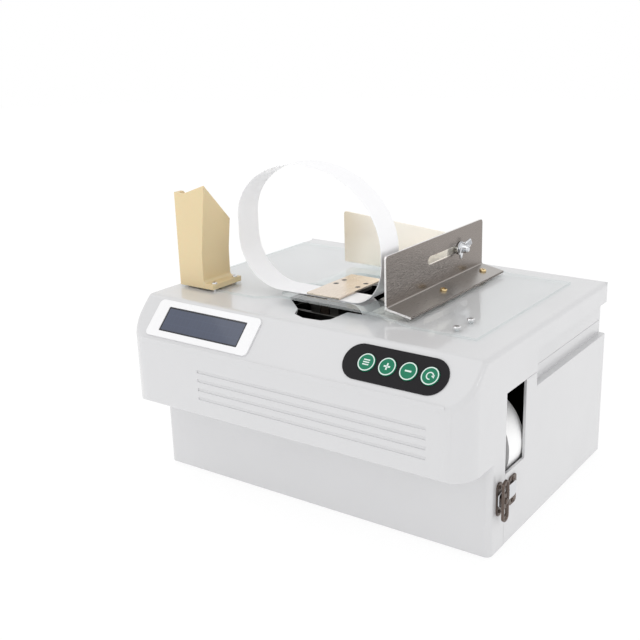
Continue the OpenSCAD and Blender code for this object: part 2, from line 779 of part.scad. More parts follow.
// Loop guide
module loop_guide()
    color("wheat") in_frame() let (base = table_flat, right = -guide_x + guide_w) difference() {
        union() {
            intersection() {
                along(guide_y, guide_y + guide_block_d) polygon(rounded([
                    [-guide_x, base, 0], [right + guide_flare, base, 0],
                    [right + guide_flare, base + guide_foot_t, 0],
                    [right, base + guide_foot_t, 4], [right, base + guide_h * 0.32, 60],
                    [right + guide_lean, base + guide_h, 0],
                    [-guide_x + guide_w * 0.35, base + guide_h - 11, 20],
                    [-guide_x, base + guide_h - 10, 0]
                ]));
                translate([-guide_x - 1, guide_y, base + guide_h]) rotate([-guide_slant, 0, 0])
                    span([0, 2 * guide_w], [0, 2 * guide_h], [-2 * guide_h, 0]);
            }
            span([-guide_x, right + guide_flare], [guide_y, guide_y + guide_foot_d],
                [base, base + guide_foot_t]);
        }
        span([-guide_x + guide_skin, right - guide_skin], [guide_y + guide_skin, guide_y + guide_d + 1],
            [base + guide_foot_t, base + guide_h * 2]);
        for (y = guide_screw_y())
            rod_z(-guide_screw_x, y, base - 1, base + guide_foot_t + 1, guide_screw_r + screw_fit);
    }

// Loop of tape that stands above the table
function quarter(centre, size, from, steps = 14) = [
    for (i = [0:steps]) let (a = from + 90 * i / steps) centre + [size.x * cos(a), size.y * sin(a)]
];
function loop_outline(t) = let (x0 = -loop_left, x1 = loop_w - loop_left, z1 = loop_z + loop_h)
    let (inset = [t, t], crown_x = x0 + loop_crown.x, shoulder = [x1 - crown_x, loop_shoulder_h]) concat(
        quarter([crown_x, z1 - shoulder.y], shoulder - inset, 0),
        quarter([crown_x, z1 - loop_crown.y], loop_crown - inset, 90),
        quarter([x0 + loop_toe.x, loop_z + loop_toe.y], loop_toe - inset, 180),
        quarter([x1 - loop_heel.x, loop_z + loop_heel.y], loop_heel - inset, 270)
    );
module tape_loop()
    color([0.93, 0.95, 0.99, 0.8]) in_frame() along(tape_y, tape_y + tape_w) difference() {
        polygon(loop_outline(0));
        polygon(loop_outline(tape_t));
    }

// Anvil and its slide
module anvil_screw_places()
    for (x = [-1, 1], y = [4, carriage_d - 4])
        translate([-head_x + x * (anvil_w / 2 - 6), carriage_y + y, anvil_top]) children();
module anvil_plate()
    color("lightgray") in_frame() difference() {
        span([-head_x - anvil_w / 2, -head_x + anvil_w / 2], [tape_y, tape_y + anvil_len],
            [anvil_z, anvil_top]);
        anvil_screw_places() rod_z(0, 0, -anvil_t - 1, 1, 1.5 + screw_fit);
        anvil_screw_places() rod_z(0, 0, -0.8, 1, 2.6 + screw_fit);
    }
module anvil_screws()
    color("gray") in_frame() anvil_screw_places() {
        rod_z(0, 0, -0.8, 0, 2.6);
        rod_z(0, 0, -anvil_t - carriage_flange + 1, -0.4, 1.5);
    }
module anvil_carriage()
    color("dimgray") in_frame() difference() {
        union() {
            span([-head_x - anvil_w / 2 + 1, -head_x + anvil_w / 2 - 1],
                [carriage_y, carriage_y + carriage_d], [anvil_z - carriage_flange, anvil_z]);
            span([-head_x - carriage_w / 2, -head_x + carriage_w / 2],
                [carriage_y + stem_inset, carriage_y + carriage_d - stem_inset / 2],
                [rod_z - rod_r - rod_wall, anvil_z]);
        }
        rod_y(-head_x, carriage_y - 1, carriage_y + carriage_d + 1, rod_z, rod_r + fit);
        anvil_screw_places() rod_z(0, 0, -anvil_t - carriage_flange, 1, 1.5 + screw_fit);
    }
module anvil_rod()
    color("silver") in_frame()
        rod_y(-head_x, tape_mid + head_plate_d / 2, rod_bracket_y, rod_z, rod_r);
module rod_bracket()
    color("silver") in_frame() {
        span([-head_x - rod_bracket_w / 2, -head_x + rod_bracket_w / 2],
            [rod_bracket_y, rod_bracket_y + rod_bracket_t], [floor_z, rod_z + 10]);
        span([-head_x - rod_bracket_w / 2, -head_x + rod_bracket_w / 2],
            [rod_bracket_y - rod_bracket_foot, rod_bracket_y], [floor_z, floor_z + head_plate_t]);
    }

// Head frame, press blocks and cams
module head_frame()
    color("silver") in_frame() difference() {
        let (y0 = tape_mid - head_plate_d / 2, y1 = tape_mid + head_plate_d / 2) union() {
            span([head_left - head_plate_t, head_left], [y0, y1], [floor_z, head_top]);
            span([head_right, head_right + head_plate_t], [y0, y1], [floor_z, head_top]);
            span([head_left - head_plate_t, head_right + head_plate_t], [y0, y1],
                [floor_z, floor_z + head_plate_t]);
            span([head_left, head_right], [y1 - head_plate_t, y1], [rod_z - 16, rod_z + 10]);
        }
        for (x = [head_left - head_plate_t, head_right])
            rod_x(x - 1, x + head_plate_t + 1, tape_mid, shaft_h, bush_r + fit);
    }
module head_guides()
    color("gray") in_frame() let (near = block_d / 2 + side_gap, far = near + guide_bar_t) {
        span([head_left, head_right], [tape_mid - far, tape_mid - near], [head_top - guide_bar_h, head_top]);
        span([head_left, head_right], [tape_mid + near, tape_mid + far], [head_top - guide_bar_h, head_top]);
    }
module press_block(i, tint)
    color(tint) in_frame() let (x = -head_x + i * (block_w + block_gap)) {
        span([x - block_w / 2, x + block_w / 2], [tape_mid - block_d / 2, tape_mid + block_d / 2],
            [shaft_h + cam_r + cam_gap, block_top]);
    }
function cam_outline() = [
    for (a = [-90:6:270])
        let (rise = a < 0 ? 1 : a < 90 ? (90 - a) / 90 : 0) (cam_r + press_lift * rise) * [cos(a), sin(a)]
];
module press_cams()
    color("gray") in_frame() for (i = [-1:1]) let (x = -head_x + i * (block_w + block_gap)) difference() {
        translate([0, tape_mid, shaft_h]) across(x - cam_w / 2, x + cam_w / 2) polygon(cam_outline());
        rod_x(x - cam_w, x + cam_w, tape_mid, shaft_h, shaft_r + fit);
    }
module cam_shaft()
    color("silver") in_frame() {
        rod_x(motor_face + 1, head_right + head_plate_t + 5, tape_mid, shaft_h, shaft_r);
        rod_x(motor_face + 3, motor_face + 3 + coupling_len - 2, tape_mid, shaft_h, coupling_r);
    }
module cam_bushes()
    color("goldenrod") in_frame() for (place = bush_places) difference() {
        union() {
            rod_x(place[0], place[0] + head_plate_t, tape_mid, shaft_h, bush_r);
            rod_x(place[1], place[1] + bush_flange, tape_mid, shaft_h, bush_r + bush_flange);
        }
        rod_x(place[0] - 5, place[0] + head_plate_t + 5, tape_mid, shaft_h, shaft_r + fit);
    }
module motor_bracket()
    color("silver") in_frame() difference() {
        union() {
            span([motor_face - head_plate_t, motor_face],
                [tape_mid - motor_plate_half, tape_mid + motor_plate_half],
                [floor_z, shaft_h + gearbox_r + 4]);
            span([motor_face - motor_foot, motor_face],
                [tape_mid - motor_plate_half, tape_mid + motor_plate_half],
                [floor_z, floor_z + head_plate_t]);
        }
        rod_x(motor_face - 4, motor_face + 1, tape_mid, shaft_h, coupling_r);
    }
module head_motor()
    color("dimgray") in_frame() {
        rod_x(motor_back - gearbox_len, motor_back, tape_mid, shaft_h, gearbox_r);
        rod_x(motor_back - gearbox_len - motor_can_len, motor_back - gearbox_len, tape_mid, shaft_h,
            motor_can_r);
        rod_x(motor_back - 1, motor_face + motor_stub, tape_mid, shaft_h, shaft_r);
    }

// Tape feed
module feed_bracket()
    color("silver") in_frame() difference() {
        union() {
            for (y = [feed_front, feed_rear - feed_plate_t])
                span([feed_x - feed_half, feed_x + feed_half], [y, y + feed_plate_t],
                    [floor_z, pinch_h + 10]);
            span([feed_x - feed_half, feed_x + feed_half], [feed_front, feed_rear],
                [floor_z, floor_z + feed_plate_t]);
        }
        for (z = [feed_h, pinch_h])
            rod_y(feed_x, tape_y - 20, tape_y + tape_w + 20, z, feed_shaft_r + fit);
    }
module feed_roller()
    color("dimgray") in_frame() {
        rod_y(feed_x, tape_y - 1, tape_y + tape_w + 1, feed_h, feed_r);
        rod_y(feed_x, feed_front - 2, feed_rear + 6, feed_h, feed_shaft_r);
    }
module pinch_roller()
    color("gray") in_frame() {
        rod_y(feed_x, tape_y - 1, tape_y + tape_w + 1, pinch_h, pinch_r);
        rod_y(feed_x, feed_front - 2, feed_rear - side_gap, pinch_h, feed_shaft_r);
    }
module feed_motor()
    color("dimgray") in_frame() difference() {
        rod_y(feed_x, feed_rear, feed_rear + feed_motor_len, feed_h, feed_motor_r);
        rod_y(feed_x, feed_rear - 1, feed_rear + 8, feed_h, feed_shaft_r + fit);
    }

// Roll of tape on its spindle
module ring_y(y0, y1, outer, inner)
    difference() {
        rod_y(roll_x, y0, y1, roll_h, outer);
        rod_y(roll_x, y0 - 1, y1 + 1, roll_h, inner);
    }
module tape_roll() color("white") in_frame() ring_y(tape_y, roll_back, roll_r, core_r + fit);
module paper_core() color("tan") in_frame() ring_y(tape_y, roll_back, core_r, core_r - core_t);
module roll_hub()
    color("dimgray") in_frame() {
        ring_y(tape_y - 1, roll_back, hub_r, spindle_r + fit);
        ring_y(roll_back, roll_back + hub_flange_t, hub_flange_r, spindle_r + fit);
    }
module roll_spindle()
    color("silver") in_frame() let (plate_y = roll_back + hub_flange_t + 1) {
        rod_y(roll_x, tape_y - 3, plate_y, roll_h, spindle_r);
        rod_y(roll_x, tape_y - 6, tape_y - 3, roll_h, spindle_r + 3);
        rod_y(roll_x, plate_y - 0.7, plate_y, roll_h, spindle_r + 2);
        span([roll_x - spindle_plate_w / 2, roll_x + spindle_plate_w / 2],
            [plate_y, plate_y + spindle_plate_t], [floor_z, roll_h + 14]);
        span([roll_x - spindle_plate_w / 2, roll_x + spindle_plate_w / 2],
            [plate_y, plate_y + spindle_foot], [floor_z, floor_z + spindle_plate_t]);
    }
module tape_web()
    color("white") in_frame() along(tape_y, roll_back) polygon(strip(rounded_line([
        [roll_x, nip_z, 0], [web_x, nip_z, 14], [web_x, loop_z - web_gap, 13],
        [-head_x + block_w / 2, loop_z - web_gap, 0]
    ]), tape_t));

// Electrics
module power_supply()
    color("silver") in_frame()
        span([psu_at.x, psu_at.x + psu.x], [psu_at.y, psu_at.y + psu.y], [floor_z, floor_z + psu.z]);
module control_board()
    color("darkgreen") in_frame() let (z = floor_z + pcb_stand) {
        span([pcb_at.x, pcb_at.x + pcb.x], [pcb_at.y, pcb_at.y + pcb.y], [z, z + board_t]);
        for (x = [5, pcb.x - 5], y = [5, pcb.y - 5]) rod_z(pcb_at.x + x, pcb_at.y + y, floor_z, z, 3);
        translate([pcb_at.x + relay_at.x, pcb_at.y + relay_at.y, z + board_t]) cube(relay);
        translate([pcb_at.x + choke_at.x, pcb_at.y + choke_at.y, z + board_t]) cube(choke);
    }
module fan_frame()
    color("dimgray") in_frame() let (y1 = body_d - wall) difference() {
        union() {
            difference() {
                span([fan_x - fan_w / 2, fan_x + fan_w / 2], [y1 - fan_t, y1],
                    [fan_z - fan_w / 2, fan_z + fan_w / 2]);
                rod_y(fan_x, y1 - fan_t - 1, y1 + 1, fan_z, fan_w / 2 - 2);
            }
            for (a = [0, 60, 120])
                translate([fan_x, y1 - fan_t, fan_z]) rotate([0, a, 0])
                    span([-fan_w / 2 + 1.5, fan_w / 2 - 1.5], [0, 2], [-1.5, 1.5]);
            rod_y(fan_x, y1 - fan_t, y1 - fan_t + 2, fan_z, fan_hub_r);
            rod_y(fan_x, y1 - fan_t, y1 - 3, fan_z, 2);
        }
    }
module fan_rotor()
    color("black") in_frame() let (y1 = body_d - wall) difference() {
        union() {
            rod_y(fan_x, y1 - fan_t + 2.5, y1 - 1.5, fan_z, fan_hub_r);
            for (i = [0:fan_blades - 1])
                translate([fan_x, y1 - fan_t / 2, fan_z]) rotate([0, i * 360 / fan_blades, 0])
                    translate([fan_hub_r - 1, 0, 0]) rotate([blade_pitch, 0, 0])
                        span([0, fan_w / 2 - 3.5 - fan_hub_r], [-0.7, 0.7], [-5, 5]);
        }
        rod_y(fan_x, y1 - fan_t, y1 - 2.5, fan_z, 2 + fit);
    }
module power_inlet()
    color("black") in_frame() difference() {
        union() {
            span([inlet_x - inlet.x / 2 - 4, inlet_x + inlet.x / 2 + 4], [body_d, body_d + flange_t],
                [socket_z - inlet.y / 2 - 3, socket_z + inlet.y / 2 + 3]);
            span([inlet_x - inlet.x / 2 + 0.2, inlet_x + inlet.x / 2 - 0.2], [body_d - inlet_deep, body_d],
                [socket_z - inlet.y / 2 + 0.2, socket_z + inlet.y / 2 - 0.2]);
        }
        span([inlet_x - inlet.x / 2 + 2, inlet_x + inlet.x / 2 - 2], [body_d - socket_deep, body_d + 3],
            [socket_z - inlet.y / 2 + 2, socket_z + inlet.y / 2 - 2]);
    }
module switch_body()
    color("black") in_frame() translate([switch_x, body_d, socket_z]) difference() {
        union() {
            span([-switch_size.x / 2 - 1.5, switch_size.x / 2 + 1.5], [0, flange_t],
                [-switch_size.y / 2 - 1.5, switch_size.y / 2 + 1.5]);
            span([-switch_size.x / 2 + 0.2, switch_size.x / 2 - 0.2], [-14, 0],
                [-switch_size.y / 2 + 0.2, switch_size.y / 2 - 0.2]);
        }
        span([-switch_size.x / 2 + 2, switch_size.x / 2 - 2], [-8, flange_t + 1],
            [-switch_size.y / 2 + 1.5, switch_size.y / 2 - 1.5]);
        rod_x(-switch_size.x / 2 + 0.8, switch_size.x / 2 - 0.8, -rocker_back, 0, rocker_pin_r + fit);
    }
module switch_rocker()
    color("black") in_frame() translate([switch_x, body_d - rocker_back, socket_z])
        rotate([switch_tilt, 0, 0]) {
            span([-switch_size.x / 2 + 2 + side_gap, switch_size.x / 2 - 2 - side_gap],
                [-3, rocker_back + 2], [-switch_size.y / 2 + 2.4, switch_size.y / 2 - 2.4]);
            rod_x(-switch_size.x / 2 + 1, switch_size.x / 2 - 1, 0, 0, rocker_pin_r);
        }

// What is drawn
base_plate();
rubber_feet();
rear_housing();
upper_cover();
housing_hinges();
cover_hinges();
hinge_pins();
latch_base();
latch_wing();
latch_link();
latch_keeper();
display_bezel();
display_glass();
display_board();
keypad_panel();
keypad_board();
push_button(0);  // fun_button
push_button(1);  // plus_button
push_button(2);  // minus_button
push_button(3);  // reset_button
clear_table();
table_screws();
fence();
fence_screws();
stop_plate();
thumb_screw();
loop_guide();
tape_loop();
anvil_plate();
anvil_carriage();
anvil_screws();
anvil_rod();
rod_bracket();
head_frame();
head_guides();
press_block(-1, "gray");  // left_clamp
press_block(0, "peru");  // heater_block
press_block(1, "gray");  // right_clamp
cam_shaft();
press_cams();
cam_bushes();
motor_bracket();
head_motor();
feed_bracket();
feed_roller();
pinch_roller();
feed_motor();
tape_roll();
paper_core();
roll_hub();
roll_spindle();
tape_web();
power_supply();
control_board();
fan_frame();
fan_rotor();
power_inlet();
switch_body();
switch_rocker();
frame_screws();
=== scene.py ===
"""Dresses a desktop tape banding machine: soft casing edges, screws, signs, latch, finishes and a studio."""

import json
import math

import bmesh
import bpy
from mathutils import Matrix, Vector
from mathutils.bvhtree import BVHTree


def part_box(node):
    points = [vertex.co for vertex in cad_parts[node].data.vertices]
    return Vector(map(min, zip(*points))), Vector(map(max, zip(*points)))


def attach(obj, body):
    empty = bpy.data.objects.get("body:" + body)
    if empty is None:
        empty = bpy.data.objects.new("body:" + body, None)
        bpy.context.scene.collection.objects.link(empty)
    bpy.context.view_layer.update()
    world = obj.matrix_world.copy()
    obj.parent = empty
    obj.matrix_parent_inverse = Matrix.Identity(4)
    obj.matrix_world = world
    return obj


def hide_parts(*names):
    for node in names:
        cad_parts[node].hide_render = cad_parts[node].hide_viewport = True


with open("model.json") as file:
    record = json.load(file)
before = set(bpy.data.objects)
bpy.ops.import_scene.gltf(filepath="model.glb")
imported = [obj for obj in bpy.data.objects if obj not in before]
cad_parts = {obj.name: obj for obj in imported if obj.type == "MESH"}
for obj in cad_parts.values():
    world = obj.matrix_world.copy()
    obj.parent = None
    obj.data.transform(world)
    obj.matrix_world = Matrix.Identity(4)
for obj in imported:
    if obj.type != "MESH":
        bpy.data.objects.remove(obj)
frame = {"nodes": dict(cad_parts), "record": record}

bl_info = {
    "name": "Tape banding machine dressing",
    "version": (1, 0, 0),
    "blender": (4, 5, 0),
    "location": "View3D > Sidebar > Bander",
    "description": "Adds soft edges, fasteners, signs and finishes to a tape banding machine",
    "category": "Object",
}

BODY_OF = {node: body for body, nodes in frame["record"]["behaviour"]["bodies"].items() for node in nodes}

# The control panel leans back by this angle: up along it, and square out of it.
SLOPE_ANGLE = math.radians(46)
SLOPE_UP = Vector((0, math.cos(SLOPE_ANGLE), math.sin(SLOPE_ANGLE)))
SLOPE_OUT = Vector((0, -math.sin(SLOPE_ANGLE), math.cos(SLOPE_ANGLE)))
RAMP = math.radians(10)  # the tilt of the fence's foot, down to the right
RIGHT = Vector((1, 0, 0))
BACK = Vector((0, 1, 0))
UP = Vector((0, 0, 1))
WHITE = (1, 1, 1, 1)
MERGE = 0.000002  # vertices closer than this, in metres, are one
NEAR = 0.00005  # points this close to a plane lie in it
PRINT_T = 0.00006  # thickness of a printed sign

FINISH = {}  # every finish by its short name, filled by main()


# ---------------------------------------------------------------- settings


class BanderCasing(bpy.types.PropertyGroup):
    colour: bpy.props.FloatVectorProperty(
        name="Casing colour", description="Colour of the moulded casing",
        default=(0.635, 0.635, 0.645), size=3, min=0, max=1, subtype="COLOR",
    )
    edge: bpy.props.FloatProperty(
        name="Edge radius", description="Radius of the casing's outer edges",
        default=0.0045, min=0.0005, max=0.006, unit="LENGTH", subtype="DISTANCE",
    )
    groove: bpy.props.FloatProperty(
        name="Groove radius", description="Radius of the long edges of the front's grooves",
        default=0.0009, min=0.0002, max=0.001, unit="LENGTH", subtype="DISTANCE",
    )
    lip: bpy.props.FloatProperty(
        name="Lip radius", description="Radius of the edges of openings and grooves",
        default=0.0006, min=0.0002, max=0.001, unit="LENGTH", subtype="DISTANCE",
    )


class BanderPanel(bpy.types.PropertyGroup):
    button_colour: bpy.props.FloatVectorProperty(
        name="Button colour", description="Colour of the push buttons",
        default=(0.014, 0.19, 0.105), size=3, min=0, max=1, subtype="COLOR",
    )
    sign_colour: bpy.props.FloatVectorProperty(
        name="Sign colour", description="Colour of the rings and signs on the buttons",
        default=(0.72, 0.82, 0.78), size=3, min=0, max=1, subtype="COLOR",
    )
    screen_colour: bpy.props.FloatVectorProperty(
        name="Screen colour", description="Colour of the resting display",
        default=(0.036, 0.050, 0.094), size=3, min=0, max=1, subtype="COLOR",
    )
    sign_size: bpy.props.FloatProperty(
        name="Sign size", description="Reach of a sign from the middle of its button",
        default=0.0042, min=0.002, max=0.006, unit="LENGTH", subtype="DISTANCE",
    )


class BanderMetal(bpy.types.PropertyGroup):
    fence_colour: bpy.props.FloatVectorProperty(
        name="Fence colour", description="Colour of the fence's sheet",
        default=(0.27, 0.24, 0.22), size=3, min=0, max=1, subtype="COLOR",
    )
    # The foot is the same sheet as the fence; this lighter colour on its up-facing faces is painted light.
    foot_lit_colour: bpy.props.FloatVectorProperty(
        name="Foot colour", description="Colour of the fence's foot",
        default=(0.42, 0.40, 0.38), size=3, min=0, max=1, subtype="COLOR",
    )
    plate_colour: bpy.props.FloatVectorProperty(
        name="Stop plate colour", description="Colour of the stop plate's sheet",
        default=(1.0, 0.95, 0.86), size=3, min=0, max=1, subtype="COLOR",
    )
    anvil_colour: bpy.props.FloatVectorProperty(
        name="Anvil colour", description="Colour of the anvil's nickel",
        default=(0.76, 0.66, 0.56), size=3, min=0, max=1, subtype="COLOR",
    )
    sheet_edge: bpy.props.FloatProperty(
        name="Sheet edge radius", description="Radius of the edges of the sheet pieces",
        default=0.0004, min=0.0001, max=0.0008, unit="LENGTH", subtype="DISTANCE",
    )


class BanderStage(bpy.types.PropertyGroup):
    lens: bpy.props.FloatProperty(
        name="Lens", description="Focal length of the camera in millimetres",
        default=55.575, min=20, max=200,
    )
    sky: bpy.props.FloatProperty(
        name="Sky level", description="Strength of the light from all round",
        default=0.90, min=0, max=2,
    )
    key: bpy.props.FloatProperty(
        name="Key power", description="Power of the large lamp above and in front",
        default=5.0, min=0, max=100, unit="POWER",
    )
    side: bpy.props.FloatProperty(
        name="Side power", description="Power of the lamp on the right",
        default=2.5, min=0, max=100, unit="POWER",
    )
    fill: bpy.props.FloatProperty(
        name="Fill power", description="Power of the low lamp in front",
        default=2.5, min=0, max=100, unit="POWER",
    )
    bounce: bpy.props.FloatProperty(
        name="Floor glow", description="Light that the floor gives back to low faces",
        default=0.28, min=0, max=1,
    )


# ---------------------------------------------------------------- finishes


def new_finish(name, colour, roughness, metallic=0.0, **sockets):
    """A Principled finish, with the nodes that later steps add to."""
    finish = bpy.data.materials.new(name)
    finish.use_nodes = True
    shader = finish.node_tree.nodes["Principled BSDF"]
    shader.inputs["Base Color"].default_value = (*colour, 1)
    shader.inputs["Roughness"].default_value = roughness
    shader.inputs["Metallic"].default_value = metallic
    for socket, value in sockets.items():
        shader.inputs[socket.replace("_", " ")].default_value = value
    finish.diffuse_color = (*colour, 1)
    return finish


def add(finish, kind, **values):
    """A new node, with each value set on its property or its socket of that name."""
    node = finish.node_tree.nodes.new(kind)
    for name, value in values.items():
        if hasattr(node, name):
            setattr(node, name, value)
        else:
            node.inputs[name.replace("_", " ")].default_value = value
    return node


def join(finish, source, target):
    finish.node_tree.links.new(source, target)


def shader_of(finish):
    return finish.node_tree.nodes["Principled BSDF"]


def surface_of(finish):
    """The socket of a material or a world that takes its shader."""
    nodes = finish.node_tree.nodes
    return (nodes.get("Material Output") or nodes["World Output"]).inputs["Surface"]


def sums(finish, operation, *terms, clamp=False):
    """A math node fed with numbers and with the outputs of other nodes."""
    node = add(finish, "ShaderNodeMath", operation=operation, use_clamp=clamp)
    for socket, term in zip(node.inputs, terms):
        if isinstance(term, bpy.types.NodeSocket):
            join(finish, term, socket)
        else:
            socket.default_value = term
    return node.outputs[0]


def mixed(finish, factor, one, two):
    """The first shader at factor 0, the second at 1."""
    mix = add(finish, "ShaderNodeMixShader")
    for socket, source in zip(mix.inputs, (factor, one, two)):
        join(finish, source, socket)
    return mix.outputs[0]


def ranged(finish, factor, low, high, start=0.3, end=0.7):
    """Spreads a noise between start and end over low to high."""
    ramp = add(finish, "ShaderNodeMapRange", From_Min=start, From_Max=end, To_Min=low, To_Max=high)
    join(finish, factor, ramp.inputs["Value"])
    return ramp.outputs["Result"]


def placed(finish, scale, shift=(0, 0, 0)):
    """The piece's own coordinates, scaled and shifted."""
    mapping = add(finish, "ShaderNodeMapping", Scale=scale, Location=shift)
    join(finish, add(finish, "ShaderNodeTexCoord").outputs["Object"], mapping.inputs["Vector"])
    return mapping.outputs["Vector"]


def seen_directly(owner):
    """1 where a surface is seen by the camera, in a reflection or through a clear piece."""
    path = add(owner, "ShaderNodeLightPath")
    result = path.outputs["Is Camera Ray"]
    for name in ("Is Glossy Ray", "Is Transmission Ray"):
        result = sums(owner, "MAXIMUM", result, path.outputs[name])
    return result


def noise_at(finish, scale, stretch=(1, 1, 1), detail=3.0):
    """Noise on the piece's own coordinates, drawn out along an axis by stretch."""
    noise = add(finish, "ShaderNodeTexNoise", Scale=scale, Detail=detail)
    join(finish, placed(finish, stretch), noise.inputs["Vector"])
    return noise.outputs["Fac"]


def vary_colour(finish, factor, spread):
    """Shifts the colour a little lighter and darker with a noise."""
    shader = shader_of(finish)
    base = shader.inputs["Base Color"].default_value[:3]
    mix = add(finish, "ShaderNodeMix", data_type="RGBA")
    mix.inputs[6].default_value = (*[c * (1 - spread) for c in base], 1)
    mix.inputs[7].default_value = (*[min(1, c * (1 + spread)) for c in base], 1)
    join(finish, factor, mix.inputs[0])
    join(finish, mix.outputs[2], shader.inputs["Base Color"])


def vary_roughness(finish, factor, low, high):
    """Lets a noise move the roughness between two levels."""
    join(finish, ranged(finish, factor, low, high), shader_of(finish).inputs["Roughness"])


def emboss(finish, factor, strength, distance):
    """A fine relief from a noise."""
    bump = add(finish, "ShaderNodeBump", Strength=strength, Distance=distance)
    join(finish, factor, bump.inputs["Height"])
    join(finish, bump.outputs["Normal"], shader_of(finish).inputs["Normal"])


def moulding(name, colour, roughness=0.4, grain=0.00003, spread=0.02, **sockets):
    """Moulded plastic: a fine spark-eroded grain, faint flow marks and handled patches."""
    finish = new_finish(name, colour, roughness, **sockets)
    vary_colour(finish, noise_at(finish, 9, detail=4), spread)
    vary_roughness(finish, noise_at(finish, 22, detail=5), roughness - 0.06, roughness + 0.08)
    emboss(finish, noise_at(finish, 1400, detail=2), 0.25, grain)
    return finish


def sheet_metal(name, colour, roughness=0.28, along=(1, 40, 40), spread=0.06, relief=0.00001, streaks=0.08):
    """Rolled or brushed sheet: fine lines drawn out along one axis, and faint stains."""
    finish = new_finish(name, colour, roughness, metallic=1.0)
    lines = noise_at(finish, 60, along, 4)
    vary_colour(finish, noise_at(finish, 25, detail=4), spread)
    vary_roughness(finish, lines, roughness - streaks, roughness + streaks)
    emboss(finish, lines, 0.3, relief)
    return finish


def clear_sheet(name, tint, gloss, body=0.0):
    """Thin clear sheet: lets the view and the lamps through and mirrors more at a low angle."""
    finish = bpy.data.materials.new(name)
    finish.use_nodes = True
    finish.node_tree.nodes.remove(shader_of(finish))
    passing = add(finish, "ShaderNodeBsdfTransparent", Color=(*tint, 1))
    mirror = add(finish, "ShaderNodeBsdfGlossy", Roughness=0.03, Color=WHITE)
    angle = add(finish, "ShaderNodeFresnel", IOR=1.49)
    side = add(finish, "ShaderNodeNewGeometry")
    # Only the side that faces the light's path mirrors, so that the sheet's inner faces stay clear.
    front = sums(finish, "SUBTRACT", 1.0, side.outputs["Backfacing"])
    share = sums(finish, "MULTIPLY", angle.outputs[0], front)
    level = sums(finish, "MULTIPLY_ADD", share, gloss, 0.01, clamp=True)
    clear = mixed(finish, level, passing.outputs[0], mirror.outputs[0])
    scuffs = add(finish, "ShaderNodeBsdfDiffuse", Roughness=0.5, Color=(0.90, 0.92, 0.92, 1))
    wear = ranged(finish, noise_at(finish, 35, detail=8), body, body + 0.025, 0.45, 0.85)
    join(finish, mixed(finish, wear, clear, scuffs.outputs[0]), surface_of(finish))
    finish.diffuse_color = (*tint, 0.3)
    return finish


def tape_finish(name, colour):
    """Glazed white tape: a slight sheen, faint fibres and some light through it."""
    finish = new_finish(name, colour, 0.32, Subsurface_Weight=0.25, Subsurface_Scale=0.002, Coat_Weight=0.25)
    shader_of(finish).inputs["Subsurface Radius"].default_value = (1, 1, 1)
    vary_colour(finish, noise_at(finish, 70, detail=5), 0.015)
    emboss(finish, noise_at(finish, 500, detail=4), 0.2, 0.00002)
    return finish


def roll_finish(name, colour):
    """The faces of the wound roll: fine rings about its middle."""
    finish = new_finish(name, colour, 0.55)
    low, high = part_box("tape_roll")
    centre = (low + high) / 2
    waves = add(finish, "ShaderNodeTexWave", wave_type="RINGS", rings_direction="Y", Scale=180,
                Distortion=0.6)
    join(finish, placed(finish, (1, 0, 1), (-centre.x, 0, -centre.z)), waves.inputs["Vector"])
    vary_colour(finish, waves.outputs["Fac"], 0.05)
    emboss(finish, waves.outputs["Fac"], 0.2, 0.00005)
    return finish


